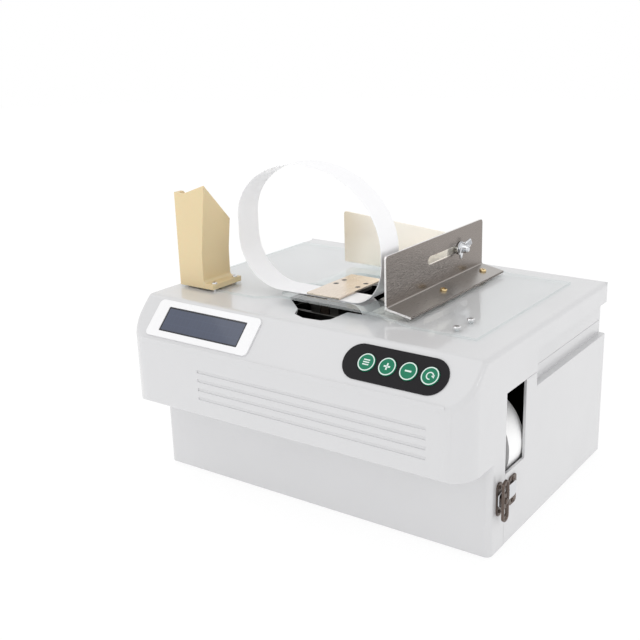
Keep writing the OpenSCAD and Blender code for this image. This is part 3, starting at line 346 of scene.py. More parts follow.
def finishes(context):
    """Every finish of the machine, by name."""
    scene = context.scene
    casing, panel, metal = scene.bander_casing, scene.bander_panel, scene.bander_metal
    return {
        "casing": moulding("casing_plastic", casing.colour, 0.34, spread=0.015, Coat_Weight=0.8,
                           Coat_Roughness=0.08),
        # Near-black painted shade for the casing's inner faces, standing in for the shade seen in its
        # openings.
        "inside": moulding("casing_inside_painted_shade", (0.030, 0.030, 0.032), 0.6, spread=0.2),
        "bezel": moulding("bezel_white", (0.86, 0.86, 0.87), 0.3, spread=0.01, Coat_Weight=0.4),
        "screen_border": moulding("screen_border", (0.012, 0.014, 0.022), 0.12, grain=0.000005),
        "screen": screen_finish("display_screen", panel.screen_colour),
        "keypad": moulding("keypad_black", (0.016, 0.015, 0.017), 0.5, grain=0.00002, spread=0.1,
                           Specular_IOR_Level=0.12),
        "button": moulding("button_green", panel.button_colour, 0.45, grain=0.00001, spread=0.05,
                           Specular_IOR_Level=0.2),
        "sign": moulding("sign_pale", panel.sign_colour, 0.4, grain=0.00001),
        "acrylic": clear_sheet("clear_acrylic", (0.99, 0.994, 0.994), 0.40),
        "acrylic_rim": clear_sheet("acrylic_rim", (0.93, 0.96, 0.96), 0.8, 0.12),
        "fence": sheet_metal("fence_steel", metal.fence_colour, 0.26, (40, 1, 40), 0.03, 0.000002, 0.04),
        # Pale finish for the sheet's cut edges: partly bare cut metal, partly a painted highlight.
        "fence_edge_highlight": sheet_metal("fence_edge_highlight", (0.80, 0.78, 0.77), 0.3, spread=0.03),
        # Lighter copy of the fence metal for the foot's up-facing faces: painted light.
        "fence_foot": sheet_metal("fence_foot", metal.foot_lit_colour, 0.3, (40, 1, 40), 0.03, 0.000002, 0.04),
        "stop": sheet_metal("stop_steel", metal.plate_colour, 0.34, (1, 40, 40), 0.02, 0.000002, 0.04),
        "nickel": sheet_metal("warm_nickel", metal.anvil_colour, 0.26, (40, 1, 40), 0.06, 0.000004),
        "chrome": sheet_metal("chrome_plate", (0.66, 0.67, 0.69), 0.08, (5, 5, 5), 0.04, 0.000003),
        "bright": sheet_metal("bright_plate", (0.74, 0.74, 0.75), 0.14, (8, 8, 8), 0.04),
        "steel": sheet_metal("bare_steel", (0.50, 0.50, 0.51), 0.36, (1, 30, 30), 0.08),
        "dark_steel": sheet_metal("dark_steel", (0.12, 0.115, 0.11), 0.38, (30, 30, 1), 0.15),
        "latch": sheet_metal("latch_bronze", (0.14, 0.11, 0.095), 0.24, (30, 30, 1), 0.20),
        "brass": sheet_metal("brass", (0.80, 0.62, 0.34), 0.22, (10, 10, 10), 0.06),
        "heater": sheet_metal("heater_dark", (0.075, 0.058, 0.048), 0.42, (20, 20, 1), 0.2),
        "cream": moulding("cream_moulding", (0.74, 0.60, 0.36), 0.38, grain=0.00003, spread=0.04,
                          Subsurface_Weight=0.08, Subsurface_Scale=0.002),
        "tape": tape_finish("tape_white", (0.97, 0.968, 0.985)),
        "roll": roll_finish("roll_white", (0.97, 0.97, 0.975)),
        "card": moulding("core_card", (0.42, 0.30, 0.18), 0.8, grain=0.0001, spread=0.12),
        "rubber": moulding("black_rubber", (0.02, 0.02, 0.02), 0.7, grain=0.00005, spread=0.2),
        "black": moulding("black_plastic", (0.022, 0.022, 0.024), 0.45, spread=0.15),
        "motor": moulding("motor_paint", (0.06, 0.06, 0.065), 0.4, spread=0.1),
        "board": moulding("board_green", (0.015, 0.10, 0.04), 0.4, grain=0.00002, spread=0.25),
    }


def screen_finish(name, colour):
    """A resting liquid crystal screen: a faint grid of cells under a glossy face."""
    finish = new_finish(name, colour, 0.16, Coat_Weight=0.6, Coat_Roughness=0.05)
    shade = {part: (*[c * level for c in colour], 1)
             for part, level in (("Color1", 1), ("Color2", 0.95), ("Mortar", 1.12))}
    # At a scale of 1000 the cells' sizes are in millimetres.
    cells = add(finish, "ShaderNodeTexBrick", offset=0.0, Scale=1000, Brick_Width=5.0, Row_Height=6.5,
                Mortar_Size=0.35, Mortar_Smooth=0.6, **shade)
    join(finish, add(finish, "ShaderNodeTexCoord").outputs["Object"], cells.inputs["Vector"])
    join(finish, cells.outputs["Color"], shader_of(finish).inputs["Base Color"])
    return finish


# ---------------------------------------------------------------- shaping


def shape_of(node):
    """A copy of a solid's mesh with its doubles merged and its flat faces whole."""
    shape = bmesh.new()
    shape.from_mesh(frame["nodes"][node].data)
    bmesh.ops.remove_doubles(shape, verts=shape.verts, dist=MERGE)
    bmesh.ops.dissolve_limit(shape, angle_limit=math.radians(0.4), verts=shape.verts, edges=shape.edges)
    return shape


def sharp_edges(shape, angle=35, pick=None):
    """The edges that turn by more than an angle, or those of them that pick accepts."""
    limit = math.radians(angle)
    return [e for e in shape.edges if len(e.link_faces) == 2 and abs(e.calc_face_angle(0)) > limit
            and (pick is None or pick(e))]


def soften(shape, edges, radius, segments=2, clamp=True):
    """Rounds some edges by a radius."""
    if edges:
        bmesh.ops.bevel(shape, geom=edges, offset=radius, offset_type="OFFSET", segments=segments,
                        profile=0.5, affect="EDGES", clamp_overlap=clamp, material=-1)


def place_piece(shape, name, body, finish, replaces=(), smooth=40, settle=True):
    """Makes a shape an object at the origin that rides on its body."""
    limit = math.radians(smooth)
    for face in shape.faces:
        face.smooth = True
    for edge in shape.edges:
        edge.smooth = len(edge.link_faces) == 2 and abs(edge.calc_face_angle(0)) <= limit
    mesh = bpy.data.meshes.new(name)
    shape.to_mesh(mesh)
    shape.free()
    for one in finish if isinstance(finish, (list, tuple)) else [finish]:
        mesh.materials.append(FINISH[one])
    piece = bpy.data.objects.new(name, mesh)
    bpy.context.scene.collection.objects.link(piece)
    if settle:
        normals = piece.modifiers.new("Even shading", "WEIGHTED_NORMAL")
        normals.keep_sharp = True
        normals.weight = 100
    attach(piece, body)
    if replaces:
        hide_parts(*replaces)


def stand_in(shape, node, finish, smooth=40):
    """Replaces a solid by a shape."""
    place_piece(shape, node + "_dressed", BODY_OF[node], finish, (node,), smooth)


def dress(node, finish, radius=0.0003, segments=2, smooth=40):
    """Replaces a solid by its own shape with softened edges and a finish."""
    shape = shape_of(node)
    soften(shape, sharp_edges(shape), radius, segments)
    stand_in(shape, node, finish, smooth)


def turned(profile, steps=32):
    """A closed shape spun about local Z from (radius, height) points that start and end on the axis."""
    shape = bmesh.new()
    points = [shape.verts.new((r, 0, z)) for r, z in profile]
    edges = [shape.edges.new(pair) for pair in zip(points, points[1:])]
    bmesh.ops.spin(shape, geom=points + edges, cent=(0, 0, 0), axis=(0, 0, 1), dvec=(0, 0, 0),
                   angle=2 * math.pi, steps=steps, use_merge=True, use_duplicate=False)
    bmesh.ops.remove_doubles(shape, verts=shape.verts, dist=MERGE)
    bmesh.ops.recalc_face_normals(shape, faces=shape.faces)
    return shape


def block(size, centre=(0, 0, 0), radius=0.0, segments=2):
    """A box with softened edges."""
    shape = bmesh.new()
    bmesh.ops.create_cube(shape, size=1)
    bmesh.ops.scale(shape, vec=size, verts=shape.verts)
    if radius:
        soften(shape, list(shape.edges), radius, segments)
    bmesh.ops.translate(shape, vec=centre, verts=shape.verts)
    return shape


def rounded_plate(width, depth, thick, corner, edge):
    """A plate with rounded corners and softened edges, its underside at local Z 0."""
    shape = block((width, depth, thick), (0, 0, thick / 2))
    upright = [e for e in shape.edges if abs(e.verts[0].co.z - e.verts[1].co.z) > thick / 2]
    soften(shape, upright, corner, 8, clamp=False)
    bmesh.ops.remove_doubles(shape, verts=shape.verts, dist=MERGE)
    if edge:
        soften(shape, sharp_edges(shape, 60), edge)
    return shape


def ring(inner, outer, thick, sweep=360):
    """A flat ring, or an arc of one, about the origin."""
    shape = bmesh.new()
    corners = [shape.verts.new(p) for p in ((inner, 0, -thick / 2), (outer, 0, -thick / 2),
                                            (outer, 0, thick / 2), (inner, 0, thick / 2))]
    face = shape.faces.new(corners)
    bmesh.ops.spin(shape, geom=[face] + list(face.edges) + corners, cent=(0, 0, 0), axis=(0, 0, 1),
                   dvec=(0, 0, 0), angle=math.radians(sweep), steps=48, use_merge=sweep == 360,
                   use_duplicate=False)
    bmesh.ops.remove_doubles(shape, verts=shape.verts, dist=0.000001)
    bmesh.ops.recalc_face_normals(shape, faces=shape.faces)
    return shape


def moved(shape, step):
    bmesh.ops.translate(shape, vec=step, verts=shape.verts)
    return shape


def turned_by(shape, angle, axis, centre=(0, 0, 0)):
    bmesh.ops.rotate(shape, cent=centre, matrix=Matrix.Rotation(angle, 3, axis), verts=shape.verts)
    return shape


def merged(shapes):
    """Several shapes as one."""
    whole = bmesh.new()
    for shape in shapes:
        mesh = bpy.data.meshes.new("part")
        shape.to_mesh(mesh)
        shape.free()
        whole.from_mesh(mesh)
        bpy.data.meshes.remove(mesh)
    return whole


def combined(shape, other, how="DIFFERENCE"):
    """The first shape less the second, or the two joined into one skin."""
    pair = []
    for one in (shape, other):
        mesh = bpy.data.meshes.new("part")
        one.to_mesh(mesh)
        one.free()
        solid = bpy.data.objects.new("part", mesh)
        bpy.context.scene.collection.objects.link(solid)
        pair.append(solid)
    tool = pair[0].modifiers.new("Combine", "BOOLEAN")
    tool.operation = how
    tool.solver = "EXACT"
    tool.object = pair[1]
    bpy.context.view_layer.update()
    result = bmesh.new()
    result.from_object(pair[0], bpy.context.evaluated_depsgraph_get())
    for solid in pair:
        mesh = solid.data
        bpy.data.objects.remove(solid)
        bpy.data.meshes.remove(mesh)
    return result


def stood(shape, origin, up, across=RIGHT):
    """Moves a shape so that its local Z points along up and its local X along across."""
    z = up.normalized()
    x = (across - z * across.dot(z)).normalized()
    turn = Matrix((x, z.cross(x), z)).transposed().to_4x4()
    bmesh.ops.transform(shape, matrix=Matrix.Translation(origin) @ turn, verts=shape.verts)
    return shape


def screw_head(radius, height):
    """A domed head with a cross recess, its underside at local Z 0."""
    head = turned([(0, 0), (radius * 0.97, 0), (radius, height * 0.12), (radius * 0.97, height * 0.45),
                   (radius * 0.8, height * 0.8), (radius * 0.45, height * 0.97), (0, height)], 28)
    return combined(head, moved(cross(radius, height * 0.55), (0, 0, height)))


def cross(radius, depth, turn=0.0):
    """A cross-shaped cutter that reaches depth above and below local Z 0."""
    long, narrow = radius * 1.15, radius * 0.26
    shape = combined(block((long, narrow, depth * 2)), block((narrow, long, depth * 2)), "UNION")
    return turned_by(shape, turn, "Z")


def span(points):
    """The lowest and the highest corner of the box round some points."""
    return [Vector([end(point[i] for point in points) for i in range(3)]) for end in (min, max)]


def heads(node, direction):
    """The middle and radius of each separate solid's face that lies furthest along a direction, in
    the order of their places."""
    shape = bmesh.new()
    shape.from_mesh(frame["nodes"][node].data)
    bmesh.ops.remove_doubles(shape, verts=shape.verts, dist=MERGE)
    found, left = [], set(shape.verts)
    while left:
        group, queue = [], [left.pop()]
        while queue:
            vert = queue.pop()
            group.append(vert.co.copy())
            for edge in vert.link_edges:
                other = edge.other_vert(vert)
                if other in left:
                    left.remove(other)
                    queue.append(other)
        reach = max(co.dot(direction) for co in group)
        low, high = span([co for co in group if co.dot(direction) > reach - NEAR])
        found.append(((low + high) / 2, (high - low).y / 2))
    shape.free()
    return sorted(found, key=lambda head: tuple(head[0]))


def dress_screws(node, finish, up, rim=0.00099, depth=0.0010):
    """Domes the heads of a node's screws by a rim radius and cuts a cross into each."""
    shape = shape_of(node)
    places = heads(node, up)
    rims = sharp_edges(shape, pick=lambda e: any(
        all(abs((v.co - place).dot(up)) < NEAR and (v.co - place).length < radius * 1.02 for v in e.verts)
        for place, radius in places))
    soften(shape, rims, rim, 4)
    for i, (place, radius) in enumerate(places):
        shape = combined(shape, stood(cross(radius, depth, 0.4 + 0.7 * i), place, up))
    stand_in(shape, node, finish, 30)


# ---------------------------------------------------------------- pieces


class BANDER_OT_casing(bpy.types.Operator):
    """Rounds the shoulders of the cover and the housing and paints shade on their insides as a near-black
    finish
    """

    bl_idname = "bander.casing"
    bl_label = "Casing"

    def execute(self, context):
        settings = context.scene.bander_casing
        closed = merged([shape_of(node) for node in ("upper_cover", "rear_housing", "base_plate")])
        tree = BVHTree.FromBMesh(closed)
        closed.free()
        for node in ("upper_cover", "rear_housing"):
            shape = shape_of(node)
            self.paint_inside_shade(shape, tree)
            if node == "upper_cover":
                self.clear_corners(shape)
                soften(shape, self.shoulders(shape), settings.edge, 5, clamp=False)
                soften(shape, self.grooves(shape), settings.groove, 4)
            soften(shape, sharp_edges(shape), settings.lip)
            # The second finish is the painted shade on the inner faces.
            stand_in(shape, node, ["casing", "inside"], 35)
        return {"FINISHED"}

    def paint_inside_shade(self, shape, tree, large=0.0004):
        """Gives the near-black painted-shade finish to faces that look at another wall, if they are large
        upright walls themselves or touch no outer face."""
        shape.normal_update()
        walled = {}
        for face in shape.faces:
            start = face.calc_center_median_weighted() + face.normal * 0.0001
            walled[face] = tree.ray_cast(start, face.normal)[0] is not None
        for face in shape.faces:
            beside = [other for edge in face.edges for other in edge.link_faces]
            wall = abs(face.normal.z) < 0.5 and face.calc_area() > large
            in_painted_shade = all(walled[other] for other in beside) or (wall and walled[face])
            face.material_index = 1 if in_painted_shade else 0

    def clear_corners(self, shape, margin=0.012, near=0.00001):
        """Makes the deck's back strip one face, so that no seam of the deck runs into its corners."""
        top = max(v.co.z for v in shape.verts)

        def on_deck(face):
            return face.normal.z > 0.99 and face.calc_center_median().z > top - 0.0002

        deck = [f for f in shape.faces if on_deck(f)]
        line = max(v.co.y for f in deck for v in f.verts) - margin
        # A dict keeps the order, so every run cuts alike.
        parts = list(dict.fromkeys(part for face in deck for part in (face, *face.edges, *face.verts)))
        bmesh.ops.bisect_plane(shape, geom=parts, dist=0.000001, plane_co=(0, line, 0), plane_no=BACK)
        shape.normal_update()
        seams = [e for e in shape.edges if len(e.link_faces) == 2 and all(on_deck(f) for f in e.link_faces)
                 and min(v.co.y for v in e.verts) > line - near
                 and max(v.co.y for v in e.verts) > line + near]
        bmesh.ops.dissolve_edges(shape, edges=seams, use_verts=False)

    def grooves(self, shape):
        """The edges where the front face breaks into its grooves."""
        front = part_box("upper_cover")[0].y + 0.00002
        return sharp_edges(shape, 60, lambda e: e.is_convex and all(v.co.y < front for v in e.verts)
                           and any(abs(f.normal.y) < 0.1 for f in e.link_faces))

    def shoulders(self, shape, corner=0.026, rise=0.12):
        """The edges where the sides and the nose's corners meet the deck, the slope and the ridge."""
        low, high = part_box("upper_cover")
        centre = (low + high) / 2
        half = (high.x - low.x) / 2

        def upright(face):
            middle = face.calc_center_median()
            out = middle - centre
            if abs(face.normal.z) > 0.05 or face.normal.xy.dot(out.xy) < 0:
                return False
            on_side = abs(face.normal.x) > 0.99 and abs(out.x) > half - 0.0004
            in_corner = abs(out.x) > half - corner and middle.y < low.y + corner
            return on_side or in_corner

        def is_shoulder(edge):
            one, two = edge.link_faces
            return (upright(one) and two.normal.z > rise) or (upright(two) and one.normal.z > rise)

        return sharp_edges(shape, 9, is_shoulder)


class BANDER_OT_base(bpy.types.Operator):
    """Finishes the base plate, feet and the screws that hold the housing"""

    bl_idname = "bander.base"
    bl_label = "Base and feet"

    def execute(self, context):
        dress("base_plate", "steel", 0.0005)
        dress("rubber_feet", "rubber", 0.0008, 3)
        dress_screws("frame_screws", "steel", -UP)
        return {"FINISHED"}


class BANDER_OT_panel(bpy.types.Operator):
    """Builds the display with its bezel and the keypad with its signs"""

    bl_idname = "bander.panel"
    bl_label = "Panel"

    def execute(self, context):
        dress("display_bezel", "bezel", 0.0005, 3)
        dress("keypad_panel", "keypad")
        for node in ("display_board", "keypad_board"):
            dress(node, "board", 0.0001, 1)
        self.screen()
        for node, sign in (("fun_button", "bars"), ("plus_button", "plus"), ("minus_button", "minus"),
                           ("reset_button", "arrow")):
            dress(node, "button", 0.0005, 3)
            self.sign(context, node, sign)
        return {"FINISHED"}

    def screen(self, border=0.0016):
        """The display glass as a dark border, and the screen that shows inside it."""
        dress("display_glass", "screen_border", 0.0002)
        verts = [v.co for v in frame["nodes"]["display_glass"].data.vertices]
        spans = [(min(v.dot(way) for v in verts), max(v.dot(way) for v in verts))
                 for way in (RIGHT, SLOPE_UP, SLOPE_OUT)]
        (left, right), (bottom, top), (_, face) = spans
        centre = RIGHT * (left + right) / 2 + SLOPE_UP * (bottom + top) / 2 + SLOPE_OUT * face
        plate = rounded_plate(right - left - 2 * border, top - bottom - 2 * border, PRINT_T, 0.0006, 0)
        place_piece(stood(plate, centre, SLOPE_OUT), "display_screen", BODY_OF["display_glass"], "screen",
                    settle=False)

    def sign(self, context, node, kind):
        """A pale ring and a generic sign, printed on a button's face."""
        verts = [v.co for v in frame["nodes"][node].data.vertices]
        reach = max(v.dot(SLOPE_OUT) for v in verts)
        low, high = span([v for v in verts if v.dot(SLOPE_OUT) > reach - NEAR])
        centre, radius = (low + high) / 2, (high.x - low.x) / 2
        size = context.scene.bander_panel.sign_size
        bar, stroke = size * 1.5, size * 0.36
        shapes = [ring(radius * 0.84, radius * 0.955, PRINT_T)]
        if kind in ("plus", "minus"):
            shapes.append(block((bar, stroke, PRINT_T)))
        if kind == "plus":
            shapes.append(block((stroke, bar, PRINT_T)))
        if kind == "bars":
            for i in (-1, 0, 1):
                shapes.append(block((bar, size * 0.26, PRINT_T), (0, i * size * 0.52, 0)))
        if kind == "arrow":
            inner, outer, tip = size * 0.62, size * 0.86, size * 0.46
            shapes.append(ring(inner, outer, PRINT_T, 285))
            head = bmesh.new()
            bmesh.ops.create_cone(head, cap_ends=True, segments=3, radius1=tip, radius2=tip, depth=PRINT_T)
            shapes.append(moved(turned_by(head, math.radians(90), "Z"), ((inner + outer) / 2, 0, 0)))
        shape = stood(merged(shapes), centre + SLOPE_OUT * PRINT_T * 0.5, SLOPE_OUT)
        place_piece(shape, node + "_sign", BODY_OF[node], "sign", settle=False)


class BANDER_OT_table(bpy.types.Operator):
    """Finishes the clear table, its polished rim and its screws, a hair off the deck"""

    bl_idname = "bander.table"
    bl_label = "Clear table"

    def execute(self, context):
        lift = 0.0001  # off the deck, so that the two don't share a plane
        sheet = 0.004  # a face with more than this behind it belongs to the rim
        shape = moved(shape_of("clear_table"), (0, 0, lift))
        soften(shape, sharp_edges(shape), 0.0003)
        shape.normal_update()
        tree = BVHTree.FromBMesh(shape)
        for face in shape.faces:
            start = face.calc_center_median_weighted() - face.normal * 0.00001
            across = tree.ray_cast(start, -face.normal)[3]
            face.material_index = 1 if across is None or across > sheet else 0
        stand_in(shape, "clear_table", ["acrylic", "acrylic_rim"])
        dress_screws("table_screws", "bright", UP)
        return {"FINISHED"}


class BANDER_OT_fence(bpy.types.Operator):
    """Builds the fence, the stop plate and the wing screw that holds it"""

    bl_idname = "bander.fence"
    bl_label = "Fence and stop"

    def execute(self, context):
        edge = context.scene.bander_metal.sheet_edge
        self.fence(edge)
        dress_screws("fence_screws", "brass", Vector((math.sin(RAMP), 0, math.cos(RAMP))))
        dress("stop_plate", "stop", edge)
        self.wing_screw()
        return {"FINISHED"}

    def fence(self, edge, fold=0.0012, foot=0.3):
        """The bent sheet, with the up-facing faces of its foot in a lighter copy of its metal as painted
        light, and its cut edges in a pale finish that is partly bare metal and partly a painted highlight.
        """
        shape = shape_of("fence")
        soften(shape, sharp_edges(shape, pick=lambda e: not e.is_convex), fold, 4)
        soften(shape, sharp_edges(shape), edge)
        shape.normal_update()
        low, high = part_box("fence")
        foot_top = low.z + (high.z - low.z) * foot
        for face in shape.faces:
            on_foot = face.calc_center_median().z < foot_top
            # Cut edge faces take the pale finish, partly bare metal and partly a painted highlight.
            cut_edge_highlight = abs(face.normal.y) > 0.5 or (face.normal.z > 0.5 and not on_foot)
            # Up-facing faces of the foot take the lighter copy of the metal as painted light.
            face.material_index = 2 if cut_edge_highlight else 1 if on_foot and face.normal.z > 0.7 else 0
        stand_in(shape, "fence", ["fence", "fence_foot", "fence_edge_highlight"])

    def wing_screw(self, lift=0.30):
        """A turned barrel with a washer and two raised wings on a threaded shank."""
        low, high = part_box("thumb_screw")
        shank, washer, barrel = 0.003, 0.007, 0.005
        back = low.x - high.x
        profile = [(0, back), (shank * 0.8, back), (shank, back + 0.0004)]
        pitch, turns = 0.0008, 4
        for i in range(turns):
            up = back + 0.0006 + i * pitch / 2
            profile += [(shank * 0.9, up), (shank, up + pitch / 4)]
        # the nut behind the stop plate
        profile += [(shank, back + 0.0021), (barrel * 0.94, back + 0.0021), (barrel, back + 0.0024),
                    (barrel, back + 0.0055), (barrel * 0.94, back + 0.0058), (shank, back + 0.0058)]
        # the washer on the fence
        profile += [(shank, -0.010), (washer * 0.97, -0.010), (washer, -0.0098), (washer, -0.0088),
                    (washer * 0.97, -0.0085)]
        # the barrel, and the shank's end in it
        profile += [(barrel * 1.1, -0.0085), (barrel * 1.14, -0.0082), (barrel * 1.0, -0.0072),
                    (barrel * 0.86, -0.004), (barrel * 0.8, -0.0012), (barrel * 0.68, -0.0004),
                    (shank * 0.9, 0), (shank * 0.75, -0.0003), (0, -0.0003)]
        shapes = [turned(profile, 40)]
        for side in (-1, 1):
            wing = block((0.0100, 0.0072, 0.0024), (side * 0.0085, 0, 0), 0.0011, 4)
            shapes.append(moved(turned_by(wing, -side * lift, "Y", (side * 0.004, 0, 0)), (0, 0, -0.0062)))
        axis = Vector((high.x, (low.y + high.y) / 2, (low.z + high.z) / 2))
        stand_in(stood(merged(shapes), axis, RIGHT, Vector((0, 0.9, 0.45))), "thumb_screw", "chrome", 30)


class BANDER_OT_guide(bpy.types.Operator):
    """Finishes the loop guide"""

    bl_idname = "bander.guide"
    bl_label = "Loop guide"

    def execute(self, context):
        dress("loop_guide", "cream", 0.0010, 3)
        return {"FINISHED"}


class BANDER_OT_tape(bpy.types.Operator):
    """Finishes the loop, the roll and the web of tape"""

    bl_idname = "bander.tape"
    bl_label = "Tape"

    def execute(self, context):
        for node in ("tape_loop", "tape_web"):
            dress(node, "tape", 0, smooth=60)
        for node, finish, radius in (("tape_roll", "roll", 0.0003), ("paper_core", "card", 0.0002),
                                     ("roll_hub", "black", 0.0004), ("roll_spindle", "steel", 0.0004)):
            dress(node, finish, radius)
        return {"FINISHED"}


class BANDER_OT_anvil(bpy.types.Operator):
    """Finishes the anvil, its slide and its screws"""

    bl_idname = "bander.anvil"
    bl_label = "Anvil"

    def execute(self, context):
        dress("anvil_plate", "nickel", 0.0003)
        dress_screws("anvil_screws", "dark_steel", UP, rim=0.00027)
        dress("anvil_carriage", "dark_steel", 0.0004)
        dress("anvil_rod", "bright", 0.0003)
        dress("rod_bracket", "steel", 0.0004)
        return {"FINISHED"}


class BANDER_OT_latch(bpy.types.Operator):
    """Builds the draw latch: base, dished wing with slots, open link and keeper"""

    bl_idname = "bander.latch"
    bl_label = "Latch"

    def execute(self, context):
        self.base()
        self.wing()
        self.link()
        self.keeper()
        return {"FINISHED"}

    def finish_piece(self, shapes, node, finish, foot):
        """Stands a piece drawn with its height along local X on the side wall, foot metres out of it."""
        low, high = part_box(node)
        centre = Vector((foot, (low.y + high.y) / 2, (low.z + high.z) / 2))
        stand_in(stood(merged(shapes), centre, RIGHT, UP), node, finish, 35)

    def base(self):
        """A plate with two screws and the post that the wing turns on."""
        low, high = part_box("latch_base")
        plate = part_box("latch_keeper")[1].x - low.x
        post, wide, tall = high - low
        shapes = [rounded_plate(tall, wide, plate, wide * 0.42, 0.0003)]
        for side in (-1, 1):
            shapes.append(moved(screw_head(0.0019, 0.0009), (side * (tall / 2 - 0.0042), 0, plate)))
        profile = [(0, 0), (0.0034, 0), (0.0034, 0.0026), (0.0026, 0.0030), (0.0026, post), (0, post)]
        shapes.append(moved(turned(profile), (0, 0, plate * 0.5 - 0.0006)))
        self.finish_piece(shapes, "latch_base", "latch", low.x)

    def wing(self):
        """A dished handle with a slot to each side of its boss."""
        low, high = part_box("latch_wing")
        _, wide, tall = high - low
        plate = rounded_plate(tall, wide, 0.0025, wide * 0.47, 0.0004)
        reach = max(v.co.z for v in plate.verts)
        front = [f for f in plate.faces if f.calc_center_median().z > reach - 0.00002]
        bmesh.ops.inset_region(plate, faces=front, thickness=0.0012, depth=0, use_even_offset=True)
        bmesh.ops.inset_region(plate, faces=front, thickness=0.0005, depth=-0.0009, use_even_offset=True)
        for side in (-1, 1):
            slot = rounded_plate(tall * 0.20, 0.0036, 0.006, 0.00175, 0)
            plate = combined(plate, moved(slot, (side * tall * 0.27, 0, -0.002)))
        soften(plate, sharp_edges(plate, 50), 0.00025)
        boss = turned([(0, 0), (0.0040, 0), (0.0041, 0.0008), (0.0036, 0.0016), (0.0030, 0.0018),
                       (0.0028, 0.0028), (0.0020, 0.0034), (0, 0.0035)])
        self.finish_piece([plate, boss], "latch_wing", "latch", low.x)

    def link(self):
        """An open loop of plated steel."""
        low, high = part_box("latch_link")
        thick, wide, tall = high - low
        bail = rounded_plate(tall, wide, thick, 0.0035, 0.0004)
        window = rounded_plate(tall - 0.0050, wide * 0.44, 0.006, 0.0016, 0)
        bail = combined(bail, moved(window, (0, wide * 0.13, -0.002)))
        soften(bail, sharp_edges(bail, 50), 0.0003)
        self.finish_piece([bail], "latch_link", "chrome", low.x)

    def keeper(self):
        """A plate with two screws and a pressed ring."""
        low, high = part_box("latch_keeper")
        thick, wide, tall = high - low
        shapes = [rounded_plate(tall, wide, thick, 0.0030, 0.0003)]
        for side in (-1, 1):
            shapes.append(moved(screw_head(0.0021, 0.0011), (side * (tall / 2 - 0.0032), 0, thick)))
        shapes.append(moved(ring(0.0022, 0.0030, 0.0006), (0.0020, -0.0020, thick + 0.0001)))
        self.finish_piece(shapes, "latch_keeper", "latch", low.x)


class BANDER_OT_works(bpy.types.Operator):
    """Finishes the head, the feed, the fan and the boards inside"""

    bl_idname = "bander.works"
    bl_label = "Works"

    def execute(self, context):
        for node, finish in (
            ("head_frame", "dark_steel"), ("head_guides", "dark_steel"), ("left_clamp", "dark_steel"),
            ("heater_block", "heater"), ("right_clamp", "dark_steel"), ("cam_shaft", "bright"),
            ("press_cams", "dark_steel"), ("cam_bushes", "brass"), ("motor_bracket", "dark_steel"),
            ("head_motor", "motor"), ("feed_bracket", "dark_steel"), ("feed_roller", "rubber"),
            ("pinch_roller", "bright"), ("feed_motor", "motor"), ("power_supply", "steel"),
            ("control_board", "board"), ("fan_frame", "black"), ("fan_rotor", "black"),
        ):
            dress(node, finish, 0.0003, 1)
        return {"FINISHED"}


class BANDER_OT_back(bpy.types.Operator):
    """Finishes the hinges with their screws, the inlet with its pins and the switch with its marks"""

    bl_idname = "bander.back"
    bl_label = "Back"

    def execute(self, context):
        for node in ("housing_hinges", "cover_hinges", "hinge_pins"):
            dress(node, "steel", 0.0003)
        for node in ("power_inlet", "switch_body", "switch_rocker"):
            dress(node, "black", 0.0005)
        self.leaf_screws("housing_hinges", -1)
        self.leaf_screws("cover_hinges", 1)
        self.pins()
        self.marks()
        return {"FINISHED"}

    def leaf_screws(self, node, side):
        """Three small heads along each leaf of a node's two hinges."""
        low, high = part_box(node)
        leaf_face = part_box("rear_housing")[1].y + 0.0012
        height = low.z + 0.010 if side < 0 else high.z - 0.010
        shapes = []
        for middle in (low.x + 0.025, high.x - 0.025):
            for step in (-0.018, 0, 0.018):
                place = Vector((middle + step, leaf_face, height))
                shapes.append(stood(screw_head(0.0024, 0.0009), place, BACK))
        place_piece(merged(shapes), node + "_screws", BODY_OF[node], "dark_steel")

    def pins(self):
        """Three flat contacts in the mains inlet."""
        low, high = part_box("power_inlet")
        centre = (low + high) / 2
        shapes = []
        for x, z in ((-0.007, -0.002), (0.007, -0.002), (0, 0.0022)):
            shapes.append(block((0.002, 0.012, 0.004), (centre.x + x, high.y - 0.0095, centre.z + z), 0.0004))
        place_piece(merged(shapes), "inlet_contacts", BODY_OF["power_inlet"], "bright")

    def marks(self):
        """The usual line and ring printed on the rocker's two ends."""
        shape = shape_of("switch_rocker")
        face = max(shape.faces, key=lambda f: f.calc_area() * max(f.normal.y, 0))
        out, centre = face.normal.copy(), face.calc_center_median()
        up = (UP - out * out.z).normalized()
        shape.free()
        reach = up * 0.0028
        line = stood(block((0.0030, 0.0006, PRINT_T)), centre + reach, out, up)
        circle = stood(ring(0.0011, 0.0016, PRINT_T), centre - reach, out, up)
        place_piece(merged([line, circle]), "switch_marks", BODY_OF["switch_rocker"], "sign",
                    settle=False)


